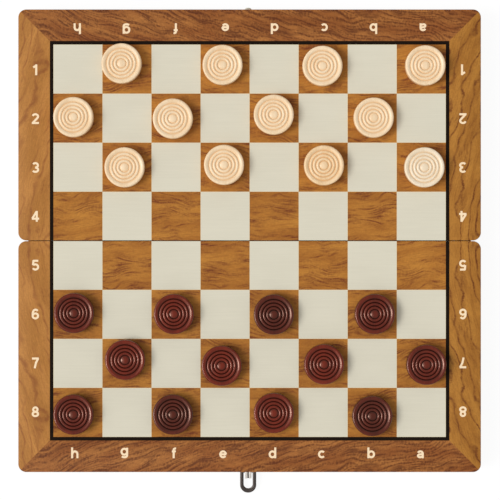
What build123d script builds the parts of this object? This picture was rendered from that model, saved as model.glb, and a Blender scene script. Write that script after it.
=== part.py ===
from build123d import *

from math import asin, atan2, degrees, hypot
import os

# A wooden checkers set: a folding game box, opened flat with its playing side up,
# and the 24 turned checkers that stand on it.
#
# Frame: Z up, X along the fold, Y towards the far half. The origin lies on the
# fold's axis, halfway along it, in the plane of the rims that the open board
# stands on. Everything is in millimetres.

# Playing surface, from the middle outwards
SQUARE = 37.1
LINE = 2.7
BORDER = 23.9
FIELD = 8 * SQUARE
BOARD = FIELD + 2 * LINE + 2 * BORDER
EDGE = BOARD / 2

# Each half of the box is a shallow tray that lies open side down
HALF_HEIGHT = 24.0
FOLD_GAP = 0.3
FOLD_FACE = FOLD_GAP / 2
CORNER_RADIUS = 6.0
ARRIS_RADIUS = 0.6
VENEER = 0.8
PANEL = 3.2
RAIL = 10.0
REBATE = RAIL / 2
GROUND = HALF_HEIGHT - VENEER
CEILING = GROUND - PANEL

# Countersunk wood screws, one pattern in two lengths
SCREW_HEAD_RADIUS = 1.6
SCREW_HEAD_DEPTH = 0.75
SCREW_RADIUS = 0.9
HINGE_SCREW = 9.0
LATCH_SCREW = 7.0

# Two butt hinges let into the rims, with their pins on the fold's axis
HINGE_X = 0.31 * BOARD
HINGE_LENGTH = 21.0
LEAF_THICKNESS = 0.8
LEAF_WIDTH = 0.8 * RAIL
LEAF_SINK = 0.05
KNUCKLE_RADIUS = 1.5
LEAF_ROOT = 0.6 * KNUCKLE_RADIUS
PIN_RADIUS = 0.75
PIN_FIT = 0.05
KNUCKLE_PLAY = 0.15
BARREL_CLEARANCE = 0.2
HINGE_SCREW_PITCH = 12.0
HINGE_SCREW_LINE = FOLD_FACE + 0.58 * LEAF_WIDTH

# Latch: a bail swings on a knuckle in the near wall, and its keeper is in the far wall.
# Both plates are let in flush, and their heights count from the rim
LATCH_X = -1.1
LATCH_PLATE = 0.8
LATCH_PLATE_WIDTH = 12.0
LATCH_PLATE_LOW = 1.0
LATCH_PLATE_HIGH = 11.6
PLATE_CORNER = 1.2
PIVOT_HEIGHT = 4.5
PIVOT_OUT = 1.5
PIVOT_RADIUS = 1.1
PIVOT_FIT = 0.08
TONGUE_WIDTH = 5.0
TONGUE_ROOT = 2 * PIVOT_RADIUS
TONGUE_OUT = 6.7
TONGUE_TIP = 1.3
TONGUE_SLIT = 0.5
LATCH_SCREW_DROP = 2.5
LATCH_SCREW_PITCH = 0.5 * LATCH_PLATE_WIDTH
BAIL_WIDTH = 12.4
BAIL_REACH = 16.7
BAIL_LEG = 2.75
BAIL_LIP = 3.5
BAIL_ARRIS = 0.5
BAIL_GROUND_CLEARANCE = 0.1
WINDOW_RADIUS = BAIL_WIDTH / 2 - BAIL_LEG
WINDOW_REACH = BAIL_REACH - BAIL_LIP
WINDOW_CENTRE = WINDOW_REACH - WINDOW_RADIUS
KEEPER_HIGH = 12.0
KEEPER_SCREW_DROP = 2.3
KEEPER_SCREW_PITCH = 0.68 * LATCH_PLATE_WIDTH
NOSE_WIDTH = 5.0
NOSE_OUT = 4.3
NOSE_FLAT = 2.4
NOSE_CLEARANCE = 0.5
NOSE_MIDDLE = WINDOW_CENTRE - PIVOT_HEIGHT
NOSE_TOE = WINDOW_RADIUS - NOSE_CLEARANCE
NOSE_LOW = NOSE_MIDDLE - 0.5 * NOSE_TOE
NOSE_HIGH = NOSE_MIDDLE + NOSE_TOE

# Checkers: turned rings, given as radius and height of each crest and valley
CHECKER_RADIUS = 15.1
CHECKER_HEIGHT = 9.3
CHECKER_SHOULDER = 1.3
RIM_CREST = 0.89 * CHECKER_RADIUS
RING_PITCH = 0.174 * CHECKER_RADIUS
RING_DEPTH = 0.9
RING_CREST_DROP = 0.25
RINGS = 4
RIM_FALL = 0.75 * RING_PITCH
BOSS_RADIUS = 0.12 * CHECKER_RADIUS

# How far each checker stands off the centre of its square, as a hand set it down:
# file, rank, nudge to the right, nudge away from the player, both in squares
PALE_CHECKERS = [
    ("g", 1, -0.10, 0.10), ("e", 1, -0.05, 0.07), ("c", 1, -0.02, 0.05), ("a", 1, 0.07, 0.06),
    ("h", 2, -0.08, 0.01), ("f", 2, -0.06, -0.02), ("d", 2, -0.01, 0.06), ("b", 2, 0.02, 0.00),
    ("g", 3, -0.04, -0.01), ("e", 3, -0.02, 0.04), ("c", 3, 0.01, 0.03), ("a", 3, 0.05, -0.01),
]
DARK_CHECKERS = [
    ("h", 6, -0.07, 0.03), ("f", 6, -0.04, 0.01), ("d", 6, -0.01, 0.00), ("b", 6, 0.04, 0.01),
    ("g", 7, -0.03, 0.08), ("e", 7, -0.07, -0.04), ("c", 7, 0.01, -0.01), ("a", 7, 0.09, -0.02),
    ("h", 8, -0.08, -0.03), ("f", 8, -0.06, -0.03), ("d", 8, -0.01, 0.00), ("b", 8, -0.01, -0.06),
]
FILES = "hgfedcba"

# The near half is the far half turned about the vertical through the origin
FAR = Rot(0, 0, 0)
NEAR = Rot(0, 0, 180)


def block(x0, x1, y0, y1, z0, z1):
    """Box between two opposite corners."""
    centre = Pos((x0 + x1) / 2, (y0 + y1) / 2, (z0 + z1) / 2)
    return centre * Box(x1 - x0, y1 - y0, z1 - z0)


def along_x(radius, length, x=0.0, y=0.0, z=0.0):
    """Cylinder along X, centred on a point."""
    return Pos(x, y, z) * Rot(0, 90, 0) * Cylinder(radius, length)


def prism(points, z0, z1):
    """Upright prism over a plan outline."""
    face = make_face(Polyline(*points, close=True))
    return Pos(0, 0, z0) * extrude(face, z1 - z0, dir=(0, 0, 1))


def half_prism(z0, z1):
    """Outline of the far half, with its four rounded corners."""
    depth = EDGE - FOLD_FACE
    plan = RectangleRounded(BOARD, depth, CORNER_RADIUS)
    return Pos(0, FOLD_FACE + depth / 2, z0) * extrude(plan, z1 - z0)


def mitred_sectors(width, fold_side):
    """Plan of each of a frame's members, cut at 45 degrees where two of them meet.

    A frame that is open towards the fold has no member there, and its side members
    run straight up to the fold.
    """
    inner = EDGE - width
    near_y = FOLD_FACE + width if fold_side else FOLD_FACE
    sectors = {
        "outer": [(-EDGE, EDGE), (EDGE, EDGE), (inner, inner), (-inner, inner)],
        "left": [(-EDGE, FOLD_FACE), (-EDGE, EDGE), (-inner, inner), (-inner, near_y)],
        "right": [(EDGE, FOLD_FACE), (EDGE, EDGE), (inner, inner), (inner, near_y)],
    }
    if fold_side:
        sectors["fold"] = [(-EDGE, FOLD_FACE), (EDGE, FOLD_FACE), (inner, near_y), (-inner, near_y)]
    return sectors


# The tray: four mitred rails with a rebate that carries the panel


def rails():
    """The far half's four rails, by side."""
    frame = half_prism(0, GROUND)
    frame -= block(-EDGE + RAIL, EDGE - RAIL, FOLD_FACE + RAIL, EDGE - RAIL, 0, GROUND)
    frame -= block(-EDGE + REBATE, EDGE - REBATE, FOLD_FACE + REBATE, EDGE - REBATE, CEILING, GROUND)
    sectors = mitred_sectors(RAIL, fold_side=True)
    return {side: frame & prism(plan, 0, GROUND) for side, plan in sectors.items()}


def panel():
    """Board that closes the tray, dropped into the rebate of the rails."""
    return block(-EDGE + REBATE, EDGE - REBATE, FOLD_FACE + REBATE, EDGE - REBATE, CEILING, GROUND)


# The veneers of the playing surface


def square_centre(file, rank):
    """Centre of a named square of the board."""
    column = FILES.index(file)
    return ((column - 3.5) * SQUARE, (4.5 - rank) * SQUARE)


def squares(dark):
    """The far half's 16 dark or 16 light squares."""
    tiles = []
    for row in range(4):
        for column in range(8):
            if (row + column) % 2 == int(dark):
                x = (column - 4) * SQUARE
                far_y = (4 - row) * SQUARE
                near_y = max(far_y - SQUARE, FOLD_FACE)
                tiles.append(block(x, x + SQUARE, near_y, far_y, GROUND, HALF_HEIGHT))
    return Compound(children=tiles)


def line():
    """Black inlaid line round three sides of the far half's squares."""
    inner = FIELD / 2
    outer = inner + LINE
    strip = block(-outer, outer, FOLD_FACE, outer, GROUND, HALF_HEIGHT)
    return strip - block(-inner, inner, FOLD_FACE, inner, GROUND, HALF_HEIGHT)


def borders():
    """The far half's three border bands, by side, with their soft outer arris."""
    surface = extrude(RectangleRounded(BOARD, BOARD, CORNER_RADIUS), VENEER)
    surface = fillet(surface.edges().group_by(Axis.Z)[-1], ARRIS_RADIUS)
    surface = Pos(0, 0, GROUND) * surface & half_prism(GROUND, HALF_HEIGHT)
    inner = EDGE - BORDER
    surface -= block(-inner, inner, FOLD_FACE, inner, GROUND, HALF_HEIGHT)
    sectors = mitred_sectors(BORDER, fold_side=False)
    return {side: surface & prism(plan, GROUND, HALF_HEIGHT) for side, plan in sectors.items()}


# Hardware


def screw(length):
    """Countersunk wood screw on the Z axis: head at the origin, shank towards +Z."""
    foot = (Align.CENTER, Align.CENTER, Align.MIN)
    head = Cone(SCREW_HEAD_RADIUS, SCREW_RADIUS, SCREW_HEAD_DEPTH, align=foot)
    return head + Cylinder(SCREW_RADIUS, length, align=foot)


def hinge_screw_places():
    """Where the far leaf's screws sit, on both hinges."""
    return [
        Pos(side * HINGE_X + step * HINGE_SCREW_PITCH / 2, HINGE_SCREW_LINE, LEAF_SINK)
        for side in (-1, 1)
        for step in (-1, 1)
    ]


def knuckles(outer):
    """Spans along X of a hinge's outer two knuckles, or of its middle one."""
    half = HINGE_LENGTH / 2
    middle = HINGE_LENGTH / 6
    return [(-half, -middle), (middle, half)] if outer else [(-middle, middle)]


def barrel(spans, radius, growth):
    """Cylinders on the hinge axis over the given spans, each end moved by growth."""
    shape = None
    for start, end in spans:
        part = along_x(radius, end - start + 2 * growth, x=(start + end) / 2)
        shape = part if shape is None else shape + part
    return shape


def hinge_leaf(outer):
    """One leaf at the origin, drawn on the far side of the axis.

    The leaf with the outer knuckles grips the pin and the other one turns on it.
    """
    top = LEAF_SINK + LEAF_THICKNESS
    half = HINGE_LENGTH / 2
    leaf = block(-half, half, LEAF_ROOT, FOLD_FACE + LEAF_WIDTH, LEAF_SINK, top)
    leaf -= barrel(knuckles(not outer), KNUCKLE_RADIUS + KNUCKLE_PLAY, KNUCKLE_PLAY / 2)
    leaf += barrel(knuckles(outer), KNUCKLE_RADIUS, -KNUCKLE_PLAY / 2)
    bore = PIN_RADIUS if outer else PIN_RADIUS + PIN_FIT
    leaf -= along_x(bore, 2 * HINGE_LENGTH)
    for step in (-1, 1):
        x = step * HINGE_SCREW_PITCH / 2
        leaf -= Pos(x, HINGE_SCREW_LINE, LEAF_SINK) * screw(HINGE_SCREW)
    return leaf


def hinge_cuts():
    """What the hinges need taken out of the far half's fold rail."""
    cuts = []
    top = LEAF_SINK + LEAF_THICKNESS
    half = HINGE_LENGTH / 2
    for side in (-1, 1):
        x = side * HINGE_X
        recess = KNUCKLE_RADIUS + BARREL_CLEARANCE
        cuts.append(along_x(recess, HINGE_LENGTH + 2 * BARREL_CLEARANCE, x=x))
        cuts.append(block(x - half, x + half, 0, FOLD_FACE + LEAF_WIDTH, 0, top))
    cuts += [place * screw(HINGE_SCREW) for place in hinge_screw_places()]
    return cuts


def wall_plate(low, high):
    """Rounded plate let in flush with the near wall, with the wall's face at y = 0."""
    plan = RectangleRounded(LATCH_PLATE_WIDTH, high - low, PLATE_CORNER)
    return Pos(0, LATCH_PLATE, (low + high) / 2) * extrude(Plane.XZ * plan, LATCH_PLATE)


def wall_screw_places(height, pitch):
    """A pair of screws into the near wall, with the wall's face at y = 0."""
    return [Pos(step * pitch / 2, 0, height) * Rot(-90, 0, 0) for step in (-1, 1)]


LATCH_SCREWS = wall_screw_places(LATCH_PLATE_HIGH - LATCH_SCREW_DROP, LATCH_SCREW_PITCH)
KEEPER_SCREWS = wall_screw_places(KEEPER_HIGH - KEEPER_SCREW_DROP, KEEPER_SCREW_PITCH)
LATCH_PLACE = Pos(LATCH_X, -EDGE, 0)
KEEPER_PLACE = Pos(LATCH_X, EDGE, 0) * Rot(0, 0, 180)


def wall_cuts(place, high, screws):
    """What a plate and its screws need taken out of the wall."""
    seats = [place * screw_place * screw(LATCH_SCREW) for screw_place in screws]
    return [place * wall_plate(LATCH_PLATE_LOW, high)] + seats


def latch_knuckle():
    """Plate with a split tongue that holds the bail, with the wall's face at y = 0."""
    root = Pos(-PIVOT_OUT, PIVOT_HEIGHT) * Circle(TONGUE_ROOT)
    tip = Pos(TONGUE_TIP - TONGUE_OUT, PIVOT_HEIGHT) * Circle(TONGUE_TIP)
    tongue = make_hull(root.edges() + tip.edges())
    tongue += Pos(-PIVOT_OUT / 2, PIVOT_HEIGHT) * Rectangle(PIVOT_OUT, 2 * TONGUE_ROOT)
    tongue -= Pos(-PIVOT_OUT, PIVOT_HEIGHT) * Circle(PIVOT_RADIUS + PIVOT_FIT)
    fingers = extrude(Plane.YZ * tongue, TONGUE_WIDTH / 2, both=True)
    slit = TONGUE_SLIT / 2
    fingers -= block(-slit, slit, -TONGUE_OUT, 0, 0, 2 * PIVOT_HEIGHT)
    shape = wall_plate(LATCH_PLATE_LOW, LATCH_PLATE_HIGH) + fingers
    for place in LATCH_SCREWS:
        shape -= place * screw(LATCH_SCREW)
    return shape


def toe_outline(half_width, centre):
    """Outline of a tongue that runs from the pivot down to a round toe."""
    return Pos(0, -centre / 2) * Rectangle(2 * half_width, centre) + Pos(0, -centre) * Circle(half_width)


def bail():
    """Closed loop with a round toe that widens to a lip, its pivot on the X axis at the origin."""
    half = BAIL_WIDTH / 2
    outline = toe_outline(half, BAIL_REACH - half) - toe_outline(WINDOW_RADIUS, WINDOW_CENTRE)
    loop = extrude(outline, PIVOT_RADIUS, both=True)
    faces = loop.faces().sort_by(Axis.Z)
    loop = chamfer(faces[0].edges() + faces[-1].edges(), BAIL_ARRIS)
    bar = Cylinder(PIVOT_RADIUS, BAIL_WIDTH)
    return loop + Rot(0, 90, 0) * chamfer(bar.edges().filter_by(GeomType.CIRCLE), BAIL_ARRIS)


def bail_tilt():
    """Angle by which the loose bail hangs down until its toe meets the table."""
    drop = PIVOT_HEIGHT - BAIL_GROUND_CLEARANCE
    return degrees(asin(drop / hypot(BAIL_REACH, PIVOT_RADIUS)) - atan2(PIVOT_RADIUS, BAIL_REACH))


def keeper():
    """Plate with the nose that the bail's window goes over, with the wall's face at y = 0.

    The nose is a wedge that rises away from the rim. Its end keeps clear of the window's
    round toe and of the arc that the window swings through.
    """
    half = NOSE_WIDTH / 2
    round_radius = (half**2 + NOSE_OUT**2) / (2 * NOSE_OUT)
    plan = Pos(0, round_radius - NOSE_OUT) * Circle(round_radius)
    plan &= Pos(0, -NOSE_OUT / 2) * Rectangle(NOSE_WIDTH, NOSE_OUT)
    nose = Pos(0, 0, NOSE_LOW) * extrude(plan, NOSE_HIGH - NOSE_LOW)
    nose &= Pos(0, 0, NOSE_MIDDLE) * Rot(90, 0, 0) * Cylinder(NOSE_TOE, 4 * NOSE_OUT)
    nose &= along_x(WINDOW_REACH - NOSE_CLEARANCE, NOSE_WIDTH, y=-PIVOT_OUT, z=-PIVOT_HEIGHT)
    ramp = [(0, NOSE_LOW), (-NOSE_OUT, NOSE_HIGH - NOSE_FLAT), (-NOSE_OUT, NOSE_LOW)]
    nose -= extrude(Plane.YZ * make_face(Polyline(*ramp, close=True)), NOSE_WIDTH, both=True)
    shape = wall_plate(LATCH_PLATE_LOW, KEEPER_HIGH) + nose
    for place in KEEPER_SCREWS:
        shape -= place * screw(LATCH_SCREW)
    return shape


# Checkers


def checker():
    """Turned checker that stands on the XY plane at the origin."""
    top = CHECKER_HEIGHT
    valley = top - RING_DEPTH
    crest = top - RING_CREST_DROP
    points = [
        (0, 0), (CHECKER_RADIUS, 0), (CHECKER_RADIUS, top - CHECKER_SHOULDER), (RIM_CREST, top),
    ]
    for ring in range(RINGS):
        radius = RIM_CREST - RIM_FALL - RING_PITCH * ring
        points += [(radius, valley), (radius - RING_PITCH / 2, crest)]
    points[-1] = (BOSS_RADIUS, crest)
    points.append((0, crest))
    return revolve(Plane.XZ * make_face(Polyline(*points, close=True)), Axis.Z)


def checker_places(checkers):
    """Where each checker of one side stands, by the name of its square."""
    places = {}
    for file, rank, nudge_x, nudge_y in checkers:
        x, y = square_centre(file, rank)
        places[f"{file}{rank}"] = Pos(x + SQUARE * nudge_x, y + SQUARE * nudge_y, HALF_HEIGHT)
    return places


# Assembly


def half_nodes(half, turn, outer_name, sides, outer_cuts):
    """All wooden nodes of one half, turned into place."""
    rail = rails()
    for cut in hinge_cuts():
        rail["fold"] -= cut
    outer_rail = turn * rail["outer"]
    for cut in outer_cuts:
        outer_rail -= cut
    band = borders()
    left, right = sides
    return {
        f"{half}_panel": turn * panel(),
        f"{half}_{outer_name}_rail": outer_rail,
        f"{half}_hinge_rail": turn * rail["fold"],
        f"{half}_left_rail": turn * rail[left],
        f"{half}_right_rail": turn * rail[right],
        f"{half}_light_squares": turn * squares(dark=False),
        f"{half}_dark_squares": turn * squares(dark=True),
        f"{half}_line": turn * line(),
        f"{half}_{outer_name}_border": turn * band["outer"],
        f"{half}_left_border": turn * band[left],
        f"{half}_right_border": turn * band[right],
    }


def hinge_nodes():
    """Leaves, pins and screws of both hinges."""
    nodes = {}
    for name, x in (("left", -HINGE_X), ("right", HINGE_X)):
        nodes[f"hinge_{name}_far_leaf"] = Pos(x, 0, 0) * hinge_leaf(outer=True)
        nodes[f"hinge_{name}_near_leaf"] = Pos(x, 0, 0) * NEAR * hinge_leaf(outer=False)
        nodes[f"hinge_{name}_pin"] = along_x(PIN_RADIUS, HINGE_LENGTH - KNUCKLE_PLAY, x=x)
    for half, turn in (("far", FAR), ("near", NEAR)):
        screws = [turn * place * screw(HINGE_SCREW) for place in hinge_screw_places()]
        nodes[f"hinge_{half}_screws"] = Compound(children=screws)
    return nodes


def latch_nodes():
    """Knuckle plate, bail and screws on the near wall, keeper and screws on the far one."""
    pivot = Pos(0, -PIVOT_OUT, PIVOT_HEIGHT) * Rot(bail_tilt(), 0, 0)
    return {
        "latch_plate": LATCH_PLACE * latch_knuckle(),
        "latch_bail": LATCH_PLACE * pivot * bail(),
        "latch_screws": Compound(children=[LATCH_PLACE * p * screw(LATCH_SCREW) for p in LATCH_SCREWS]),
        "keeper_plate": KEEPER_PLACE * keeper(),
        "keeper_screws": Compound(children=[KEEPER_PLACE * p * screw(LATCH_SCREW) for p in KEEPER_SCREWS]),
    }


def checker_nodes():
    """The 24 checkers, each named after its colour and its square."""
    turned = checker()
    nodes = {}
    for colour, checkers in (("pale", PALE_CHECKERS), ("dark", DARK_CHECKERS)):
        for square, place in checker_places(checkers).items():
            nodes[f"{colour}_checker_{square}"] = place * turned
    return nodes


def assembly():
    """Every node of the set, by name."""
    latch_cuts = wall_cuts(LATCH_PLACE, LATCH_PLATE_HIGH, LATCH_SCREWS)
    keeper_cuts = wall_cuts(KEEPER_PLACE, KEEPER_HIGH, KEEPER_SCREWS)
    nodes = half_nodes("near", NEAR, "front", ("right", "left"), latch_cuts)
    nodes |= half_nodes("far", FAR, "back", ("left", "right"), keeper_cuts)
    nodes |= hinge_nodes()
    nodes |= latch_nodes()
    nodes |= checker_nodes()
    return nodes


os.makedirs("parts", exist_ok=True)
for node, shape in assembly().items():
    export_step(shape, f"parts/{node}.step")
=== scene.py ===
"""A folding wooden checkers set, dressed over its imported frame.

The box lies open with its playing side up and the 24 turned checkers stand on it.
Units are metres and the axes are the frame's: +Z up, X along the fold, +Y towards
the far half, and the origin on the fold's axis in the plane of the rims.
"""

import logging
import math
from dataclasses import dataclass
from enum import Enum
from typing import Callable, Iterable, Sequence

import bmesh
import bpy
from mathutils import Matrix, Vector


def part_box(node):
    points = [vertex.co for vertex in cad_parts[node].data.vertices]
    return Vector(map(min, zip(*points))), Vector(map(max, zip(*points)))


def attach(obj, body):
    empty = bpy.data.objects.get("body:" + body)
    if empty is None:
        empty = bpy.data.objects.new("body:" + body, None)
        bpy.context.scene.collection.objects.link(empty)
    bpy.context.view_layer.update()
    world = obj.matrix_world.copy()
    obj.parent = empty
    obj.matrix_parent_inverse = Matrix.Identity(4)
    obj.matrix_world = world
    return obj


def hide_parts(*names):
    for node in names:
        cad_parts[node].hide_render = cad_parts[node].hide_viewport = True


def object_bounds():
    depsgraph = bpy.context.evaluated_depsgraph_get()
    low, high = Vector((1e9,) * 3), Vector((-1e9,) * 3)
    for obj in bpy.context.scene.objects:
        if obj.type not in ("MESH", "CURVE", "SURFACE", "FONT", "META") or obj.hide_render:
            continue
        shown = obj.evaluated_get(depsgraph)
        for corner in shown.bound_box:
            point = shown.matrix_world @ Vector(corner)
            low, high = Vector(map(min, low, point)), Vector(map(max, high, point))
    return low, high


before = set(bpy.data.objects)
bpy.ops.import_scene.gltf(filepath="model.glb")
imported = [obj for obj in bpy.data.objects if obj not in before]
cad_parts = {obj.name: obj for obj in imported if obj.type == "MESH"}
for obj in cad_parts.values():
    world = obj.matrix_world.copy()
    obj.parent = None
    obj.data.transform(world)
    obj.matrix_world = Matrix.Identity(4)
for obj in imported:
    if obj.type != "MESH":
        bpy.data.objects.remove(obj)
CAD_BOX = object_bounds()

LOG = logging.getLogger("checkers_set")
MM = 0.001
Point = tuple[float, float]
Colour = tuple[float, float, float]
Socket = bpy.types.NodeSocket

# Turns a solid drawn over a plan of Y and Z, or of X and Z, to stand as drawn
FROM_SIDE = Matrix(((0, 0, 1), (1, 0, 0), (0, 1, 0))).to_4x4()
FROM_FRONT = Matrix(((1, 0, 0), (0, 0, 1), (0, 1, 0))).to_4x4()


@dataclass(frozen=True)
class BoardSizes:
    """The sizes that the board's pieces share, in metres."""

    square: float = 37.1 * MM
    line: float = 2.7 * MM
    border: float = 23.9 * MM
    fold_gap: float = 0.6 * MM
    rail_gap: float = 0.02 * MM
    corner: float = 6.0 * MM
    height: float = 24.0 * MM
    veneer: float = 0.8 * MM
    panel: float = 3.2 * MM
    rail: float = 10.0 * MM
    arris: float = 0.6 * MM

    @property
    def edge(self) -> float:
        """From the middle of the board to its outer edge."""
        return 4 * self.square + self.line + self.border

    @property
    def fold_face(self) -> float:
        """From the fold's axis to the fold face of a half."""
        return self.fold_gap / 2

    @property
    def ground(self) -> float:
        """Height of the surface that carries the veneers."""
        return self.height - self.veneer

    @property
    def ceiling(self) -> float:
        """Height of the tray's ceiling, the panel's underside."""
        return self.ground - self.panel


SIZES = BoardSizes()


class Half(Enum):
    """The two halves of the box, with the body each one's pieces ride on."""

    NEAR = "near"
    FAR = "far"

    @property
    def body(self) -> str:
        """Name of the frame's body."""
        return f"{self.value}_half"

    @property
    def turn(self) -> Matrix:
        """Turn that takes a piece drawn for the far half to this half."""
        angle = math.pi if self is Half.NEAR else 0.0
        return Matrix.Rotation(angle, 4, "Z")

    @property
    def outer(self) -> str:
        """Word for the half's side away from the fold, as in its nodes' names."""
        return "front" if self is Half.NEAR else "back"


class Figure(Enum):
    """How the grain of a wooden surface runs."""

    SQUARES = "each square cut from another place, grain along the fold"
    SIDE_BAND = "grain along Y, sloping in towards the fold, matched across it"
    END_BAND = "grain along X, sloping down to the right, matched across the fold"
    ALONG_X = "plain grain along X"
    ALONG_Y = "plain grain along Y"


# Nodes


def srgb(red: int, green: int, blue: int) -> Colour:
    """Turns a display colour, 0 to 255, into the linear colour a shader takes.

    Args:
        red: Red as displayed.
        green: Green as displayed.
        blue: Blue as displayed.

    Returns:
        The linear colour.
    """
    shares = (value / 255 for value in (red, green, blue))
    return tuple(s / 12.92 if s <= 0.04045 else ((s + 0.055) / 1.055) ** 2.4 for s in shares)


class NodeSketch:
    """Adds and wires the nodes of one tree in few words."""

    def __init__(self, tree: bpy.types.NodeTree) -> None:
        """Starts on a tree and empties it."""
        self.tree = tree
        tree.nodes.clear()

    def add(self, kind: str, inputs: dict | None = None, **settings: object) -> bpy.types.Node:
        """Adds a node.

        Args:
            kind: The node's type name.
            inputs: Value, or socket to link from, by the input's name or number.
            settings: Properties of the node itself.

        Returns:
            The new node.
        """
        node = self.tree.nodes.new(kind)
        for name, value in settings.items():
            setattr(node, name, value)
        for key, value in (inputs or {}).items():
            if isinstance(value, Socket):
                self.tree.links.new(value, node.inputs[key])
            else:
                node.inputs[key].default_value = value
        return node

    def math(self, operation: str, *values: Socket | float) -> Socket:
        """Adds a Math node on the values and returns its output."""
        return self.add("ShaderNodeMath", dict(enumerate(values)), operation=operation).outputs[0]

    def scaled(self, value: Socket, scale: float, shift: float = 0.0) -> Socket:
        """Returns value times scale plus shift."""
        return self.math("MULTIPLY_ADD", value, scale, shift)

    def vector(self, x: Socket | float, y: Socket | float, z: Socket | float = 0.0) -> Socket:
        """Returns the vector of three values."""
        return self.add("ShaderNodeCombineXYZ", {0: x, 1: y, 2: z}).outputs[0]

    def smooth_step(self, value: Socket, low: float, high: float) -> Socket:
        """Returns 0 below low and 1 above high, with a smooth change between them."""
        inputs = {0: value, 1: low, 2: high, 3: 0.0, 4: 1.0}
        return self.add("ShaderNodeMapRange", inputs, interpolation_type="SMOOTHSTEP").outputs[0]


@dataclass(frozen=True)
class Strand:
    """A noise drawn out along the grain.

    It has so many waves in a millimetre along the grain and across it, a seed that picks
    one of many such noises, and a detail that says how many finer waves it holds.
    """

    along: float
    across: float
    seed: float
    detail: float = 2.0


class ShaderSketch(NodeSketch):
    """A node sketch of a material."""

    def __init__(self, name: str) -> None:
        """Makes the material of that name, with its shader and output.

        Args:
            name: The material's name.
        """
        self.material = bpy.data.materials.new(name)
        self.material.use_nodes = True
        super().__init__(self.material.node_tree)
        self.shader = self.add("ShaderNodeBsdfPrincipled")
        self.add("ShaderNodeOutputMaterial", {"Surface": self.shader.outputs[0]})

    def place(self) -> tuple[Socket, Socket, Socket]:
        """Takes the point on the object in millimetres, as x, y and z.

        Returns:
            The three distances from the origin.
        """
        point = self.add("ShaderNodeTexCoord").outputs["Object"]
        in_mm = self.shade(point, 1 / MM)
        x, y, z = self.add("ShaderNodeSeparateXYZ", {0: in_mm}).outputs
        return x, y, z

    def noise(self, point: Socket, detail: float, rough: float = 0.5) -> Socket:
        """Returns a noise between 0 and 1."""
        inputs = {"Vector": point, "Scale": 1.0, "Detail": detail, "Roughness": rough}
        return self.add("ShaderNodeTexNoise", inputs).outputs[0]

    def grained(self, along: Socket, across: Socket, strand: Strand) -> Socket:
        """Returns a noise drawn out along the grain.

        Args:
            along: Distance along the grain.
            across: Distance across the grain.
            strand: How it is drawn out.

        Returns:
            The noise, between 0 and 1.
        """
        x, y = self.scaled(along, strand.along), self.scaled(across, strand.across)
        return self.noise(self.vector(x, y, strand.seed), strand.detail, 0.6)

    def mix(self, share: Socket | float, first: Socket | Colour, second: Socket | Colour) -> Socket:
        """Mixes two colours.

        Args:
            share: Share of the second colour, 0 to 1.
            first: The first colour.
            second: The second colour.

        Returns:
            The mixed colour.
        """
        first, second = (c if isinstance(c, Socket) else (*c, 1.0) for c in (first, second))
        inputs = {0: share, 6: first, 7: second}
        return self.add("ShaderNodeMix", inputs, data_type="RGBA").outputs[2]

    def shade(self, colour: Socket, factor: Socket | float) -> Socket:
        """Returns a colour or a vector times a factor."""
        inputs = {0: colour, "Scale": factor}
        return self.add("ShaderNodeVectorMath", inputs, operation="SCALE").outputs[0]

    def bump(self, height: Socket, depth: float) -> None:
        """Presses a height of 0 to 1 into the surface, in metres."""
        node = self.add("ShaderNodeBump", {"Height": height, "Distance": depth, "Strength": 1.0})
        self.tree.links.new(node.outputs[0], self.shader.inputs["Normal"])


# Finishes


@dataclass(frozen=True)
class Gloss:
    """How a surface shines."""

    roughness: float = 0.4
    specular: float = 0.35
    coat: float = 0.0
    coat_roughness: float = 0.15
    metallic: float = 0.0
    tint: Colour = (1.0, 1.0, 1.0)

    def dress(self, shader: bpy.types.Node) -> None:
        """Sets these values on a shader's own sockets.

        Args:
            shader: The material's shader node.
        """
        for label, value in {
            "Roughness": self.roughness, "Specular IOR Level": self.specular,
            "Coat Weight": self.coat, "Coat Roughness": self.coat_roughness,
            "Metallic": self.metallic, "Specular Tint": (*self.tint, 1.0),
        }.items():
            shader.inputs[label].default_value = value


LACQUER = Gloss(roughness=0.42, specular=0.15)


@dataclass(frozen=True)
class Finish:
    """A named finish, whose material takes its colour from the finish's own rule."""

    name: str

    def paint(self, sketch: ShaderSketch) -> Socket | Colour:
        """Returns the surface's colour, wired on the sketch."""
        raise NotImplementedError

    def material(self) -> bpy.types.Material:
        """Builds the material.

        Returns:
            The new material.
        """
        sketch = ShaderSketch(self.name)
        colour = self.paint(sketch)
        if isinstance(colour, Socket):
            sketch.tree.links.new(colour, sketch.shader.inputs["Base Color"])
        else:
            sketch.shader.inputs["Base Color"].default_value = (*colour, 1.0)
        self.gloss.dress(sketch.shader)
        return sketch.material


BROAD = Strand(0.02, 0.07, seed=0.0, detail=3.0)
FIBRE = Strand(0.07, 1.3, seed=1.0, detail=3.0)
COMB = Strand(0.75, 0.45, seed=41.0, detail=1.0)
PORE = Strand(0.3, 1.1, seed=51.0)
WAVER = Strand(0.022, 0.03, seed=7.0)
FORCE = Strand(0.11, 0.12, seed=17.0)
VEIN_CLOUD = Strand(0.016, 0.05, seed=21.0)
STREAK_CLOUD = Strand(0.035, 0.11, seed=31.0)
SLANT = Strand(0.03, 0.03, seed=35.0, detail=1.0)
FINE_FIBRE = Strand(0.03, 0.9, seed=0.0, detail=4.0)
FINE_CLOUD = Strand(0.02, 0.05, seed=5.0)


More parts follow.
